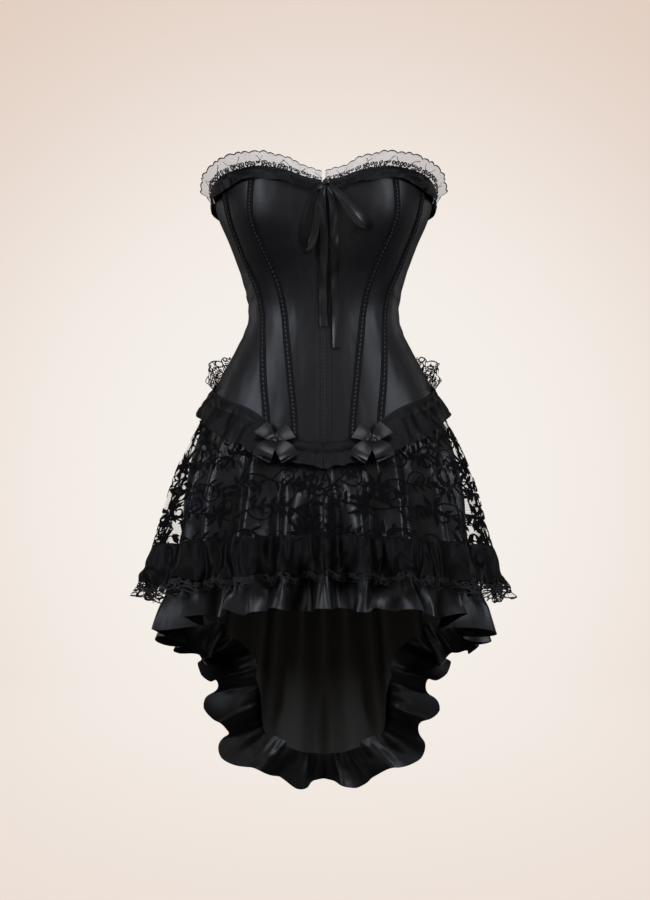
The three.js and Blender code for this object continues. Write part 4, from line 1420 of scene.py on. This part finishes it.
class MakeBows(bpy.types.Operator):
    """Ties the long ribbon bow at the bust and the two satin bows at the hips"""

    bl_idname = "corset_dress.make_bows"
    bl_label = "Make bows"

    def execute(self, context):
        def on_front(across, level, height):
            angle = math.copysign(angle_across(abs(across), level), across)
            return raised(corset_radius, angle, level, height)

        def edge_curl(u, v, width):
            edge = (v * 2) ** 2 * min(1, width / 9)
            return 0.9 * edge * math.sin(9 * u + 2) + 0.5 * uneven(u * 9, v, 91)

        make_bow("front_bow_ribbon", on_front, FRONT_BOW, FRONT_KNOT, 90, edge_curl, ["front_bow"])
        for side, word in SIDES:
            angle = side * HIP_BOW_ANGLE
            centre = raised(cover_radius, angle, HIP_BOW_LEVEL, HIP_BOW_HEIGHT)
            out = raised(cover_radius, angle, HIP_BOW_LEVEL, HIP_BOW_HEIGHT + 1) - centre
            right = Vector((0, 0, 1)).cross(out).normalized()
            up = out.cross(right)

            def on_hip(across, level, height):
                return centre + right * across * side + up * level + out * height

            def puff(u, v, width):
                return 0.8 * uneven(u * 1.4, v * 1.1, 95 + side) - 1.3 * (2 * v) ** 2 * (width > 15)

            make_bow(f"hip_bow_ribbon_{word}", on_hip, HIP_BOW, HIP_KNOT, 40, puff, [f"hip_bow_{word}"])
        return {"FINISHED"}


# Stage, in metres

# The paper: its radius, how high and how low it reaches, and the bevel between wall and floor
PAPER_RADIUS = 16
PAPER_HEIGHT = 9
PAPER_MIDDLE = 3.45
PAPER_BEVEL = 3

# The lights: where each stands, where it looks, its width and height, its power and its colour
MIDDLE = (0, 0, -0.2)
LIGHTS = (
    ("soft_box_left", (-2.7, -2.0, 0.9), MIDDLE, 0.8, 1.6, 48, "EEF2FF"),
    ("soft_box_right", (2.7, -2.0, 0.9), MIDDLE, 0.8, 1.6, 44, "EEF2FF"),
    ("strip_left", (-2.3, 1.7, 0.2), MIDDLE, 0.25, 1.8, 5, "FFFFFF"),
    ("strip_right", (2.3, 1.7, 0.2), MIDDLE, 0.25, 1.8, 5, "FFFFFF"),
    ("top_panel", (0, -1.4, 2.3), MIDDLE, 1.4, 0.9, 20, "F4F6FF"),
    ("front_panel", (0, -4.2, 1.2), MIDDLE, 3.0, 2.4, 5, "FFFFFF"),
    ("low_panel", (0, -3.2, -0.85), (0, 0, -0.5), 1.6, 0.6, 5, "FFFFFF"),
)
ROOM_LIGHT = 0.05

# The camera stands level with the middle of the picture, far off, behind a long lens
CAMERA_SPOT = (0.002, -8.0, -0.189)
CAMERA_TARGET = (0.002, 0, -0.189)
CAMERA_LENS = 225.3


def aim(thing, target):
    """Turns a light or a camera so that it looks at a point."""
    thing.rotation_euler = (Vector(target) - thing.location).to_track_quat("-Z", "Y").to_euler()


def soft_light(name, spot, target, width, height, power, colour):
    data = bpy.data.lights.new(name, "AREA")
    data.shape = "RECTANGLE"
    data.size, data.size_y = width, height
    data.energy = power
    data.color = hex_colour(colour)
    light = bpy.data.objects.new(name, data)
    bpy.context.scene.collection.objects.link(light)
    light.location = spot
    aim(light, target)


class SetStage(bpy.types.Operator):
    """Sets the pale floor and backdrop, the soft lights and the camera"""

    bl_idname = "corset_dress.set_stage"
    bl_label = "Set stage"

    def execute(self, context):
        deselect()
        bpy.ops.mesh.primitive_cylinder_add(vertices=96, radius=PAPER_RADIUS, depth=PAPER_HEIGHT,
                                            end_fill_type="NGON", location=(0, 0, PAPER_MIDDLE))
        paper = bpy.context.active_object
        paper.name = "backdrop"
        bpy.ops.object.transform_apply(location=True)
        bpy.ops.object.mode_set(mode="EDIT")
        bpy.ops.mesh.select_all(action="DESELECT")
        bpy.ops.object.mode_set(mode="OBJECT")
        for face in paper.data.polygons:
            face.select = face.normal.z > 0.9
        bpy.ops.object.mode_set(mode="EDIT")
        bpy.ops.mesh.delete(type="ONLY_FACE")
        bpy.ops.object.mode_set(mode="OBJECT")
        for edge in paper.data.edges:
            edge.select = all(paper.data.vertices[i].co.z < 0 for i in edge.vertices)
        bpy.ops.object.mode_set(mode="EDIT")
        bpy.ops.mesh.bevel(offset=PAPER_BEVEL, segments=16, affect="EDGES")
        bpy.ops.mesh.select_all(action="SELECT")
        bpy.ops.mesh.flip_normals()
        bpy.ops.object.mode_set(mode="OBJECT")
        bpy.ops.object.shade_smooth()
        paper.data.materials.append(backdrop_paper())
        # The dress is lit and mirrored by the lights alone
        paper.visible_glossy = False
        paper.visible_diffuse = False

        for light in LIGHTS:
            soft_light(*light)

        world = bpy.data.worlds.new("studio")
        world.use_nodes = True
        background = world.node_tree.nodes["Background"].inputs
        background["Color"].default_value = hex_colour("F4EFEA", 1)
        background["Strength"].default_value = ROOM_LIGHT
        scene = bpy.context.scene
        scene.world = world
        scene.view_settings.view_transform = "Standard"

        data = bpy.data.cameras.new("camera")
        data.sensor_fit = "VERTICAL"
        data.sensor_height = 36
        data.lens = CAMERA_LENS
        camera = bpy.data.objects.new("camera", data)
        scene.collection.objects.link(camera)
        camera.location = CAMERA_SPOT
        aim(camera, CAMERA_TARGET)
        scene.camera = camera
        return {"FINISHED"}


STEPS = (SetStage, MakeBodice, MakeTapes, MakeNeckTrim, MakeHipTrim, MakeSatinSkirt, MakeNetOverskirt,
         MakeVines, MakeSkirtTrims, MakeBows)


class CorsetDressPanel(bpy.types.Panel):
    """Lists the steps that dress the model"""

    bl_idname = "VIEW3D_PT_corset_dress"
    bl_label = "Corset dress"
    bl_space_type = "VIEW_3D"
    bl_region_type = "UI"
    bl_category = "Corset dress"

    def draw(self, context):
        for group in (context.scene.dress_sizes, context.scene.dress_colours):
            box = self.layout.box()
            for name in group.__annotations__:
                box.prop(group, name)
        for step in STEPS:
            self.layout.operator(step.bl_idname)


CLASSES = (DressSizes, DressColours, *STEPS, CorsetDressPanel)


def register():
    for made in CLASSES:
        bpy.utils.register_class(made)
    bpy.types.Scene.dress_sizes = bpy.props.PointerProperty(type=DressSizes)
    bpy.types.Scene.dress_colours = bpy.props.PointerProperty(type=DressColours)


def unregister():
    del bpy.types.Scene.dress_colours
    del bpy.types.Scene.dress_sizes
    for made in reversed(CLASSES):
        bpy.utils.unregister_class(made)


def main():
    register()
    for step in STEPS:
        group, name = step.bl_idname.split(".")
        getattr(getattr(bpy.ops, group), name)()


if __name__ == "__main__":
    main()
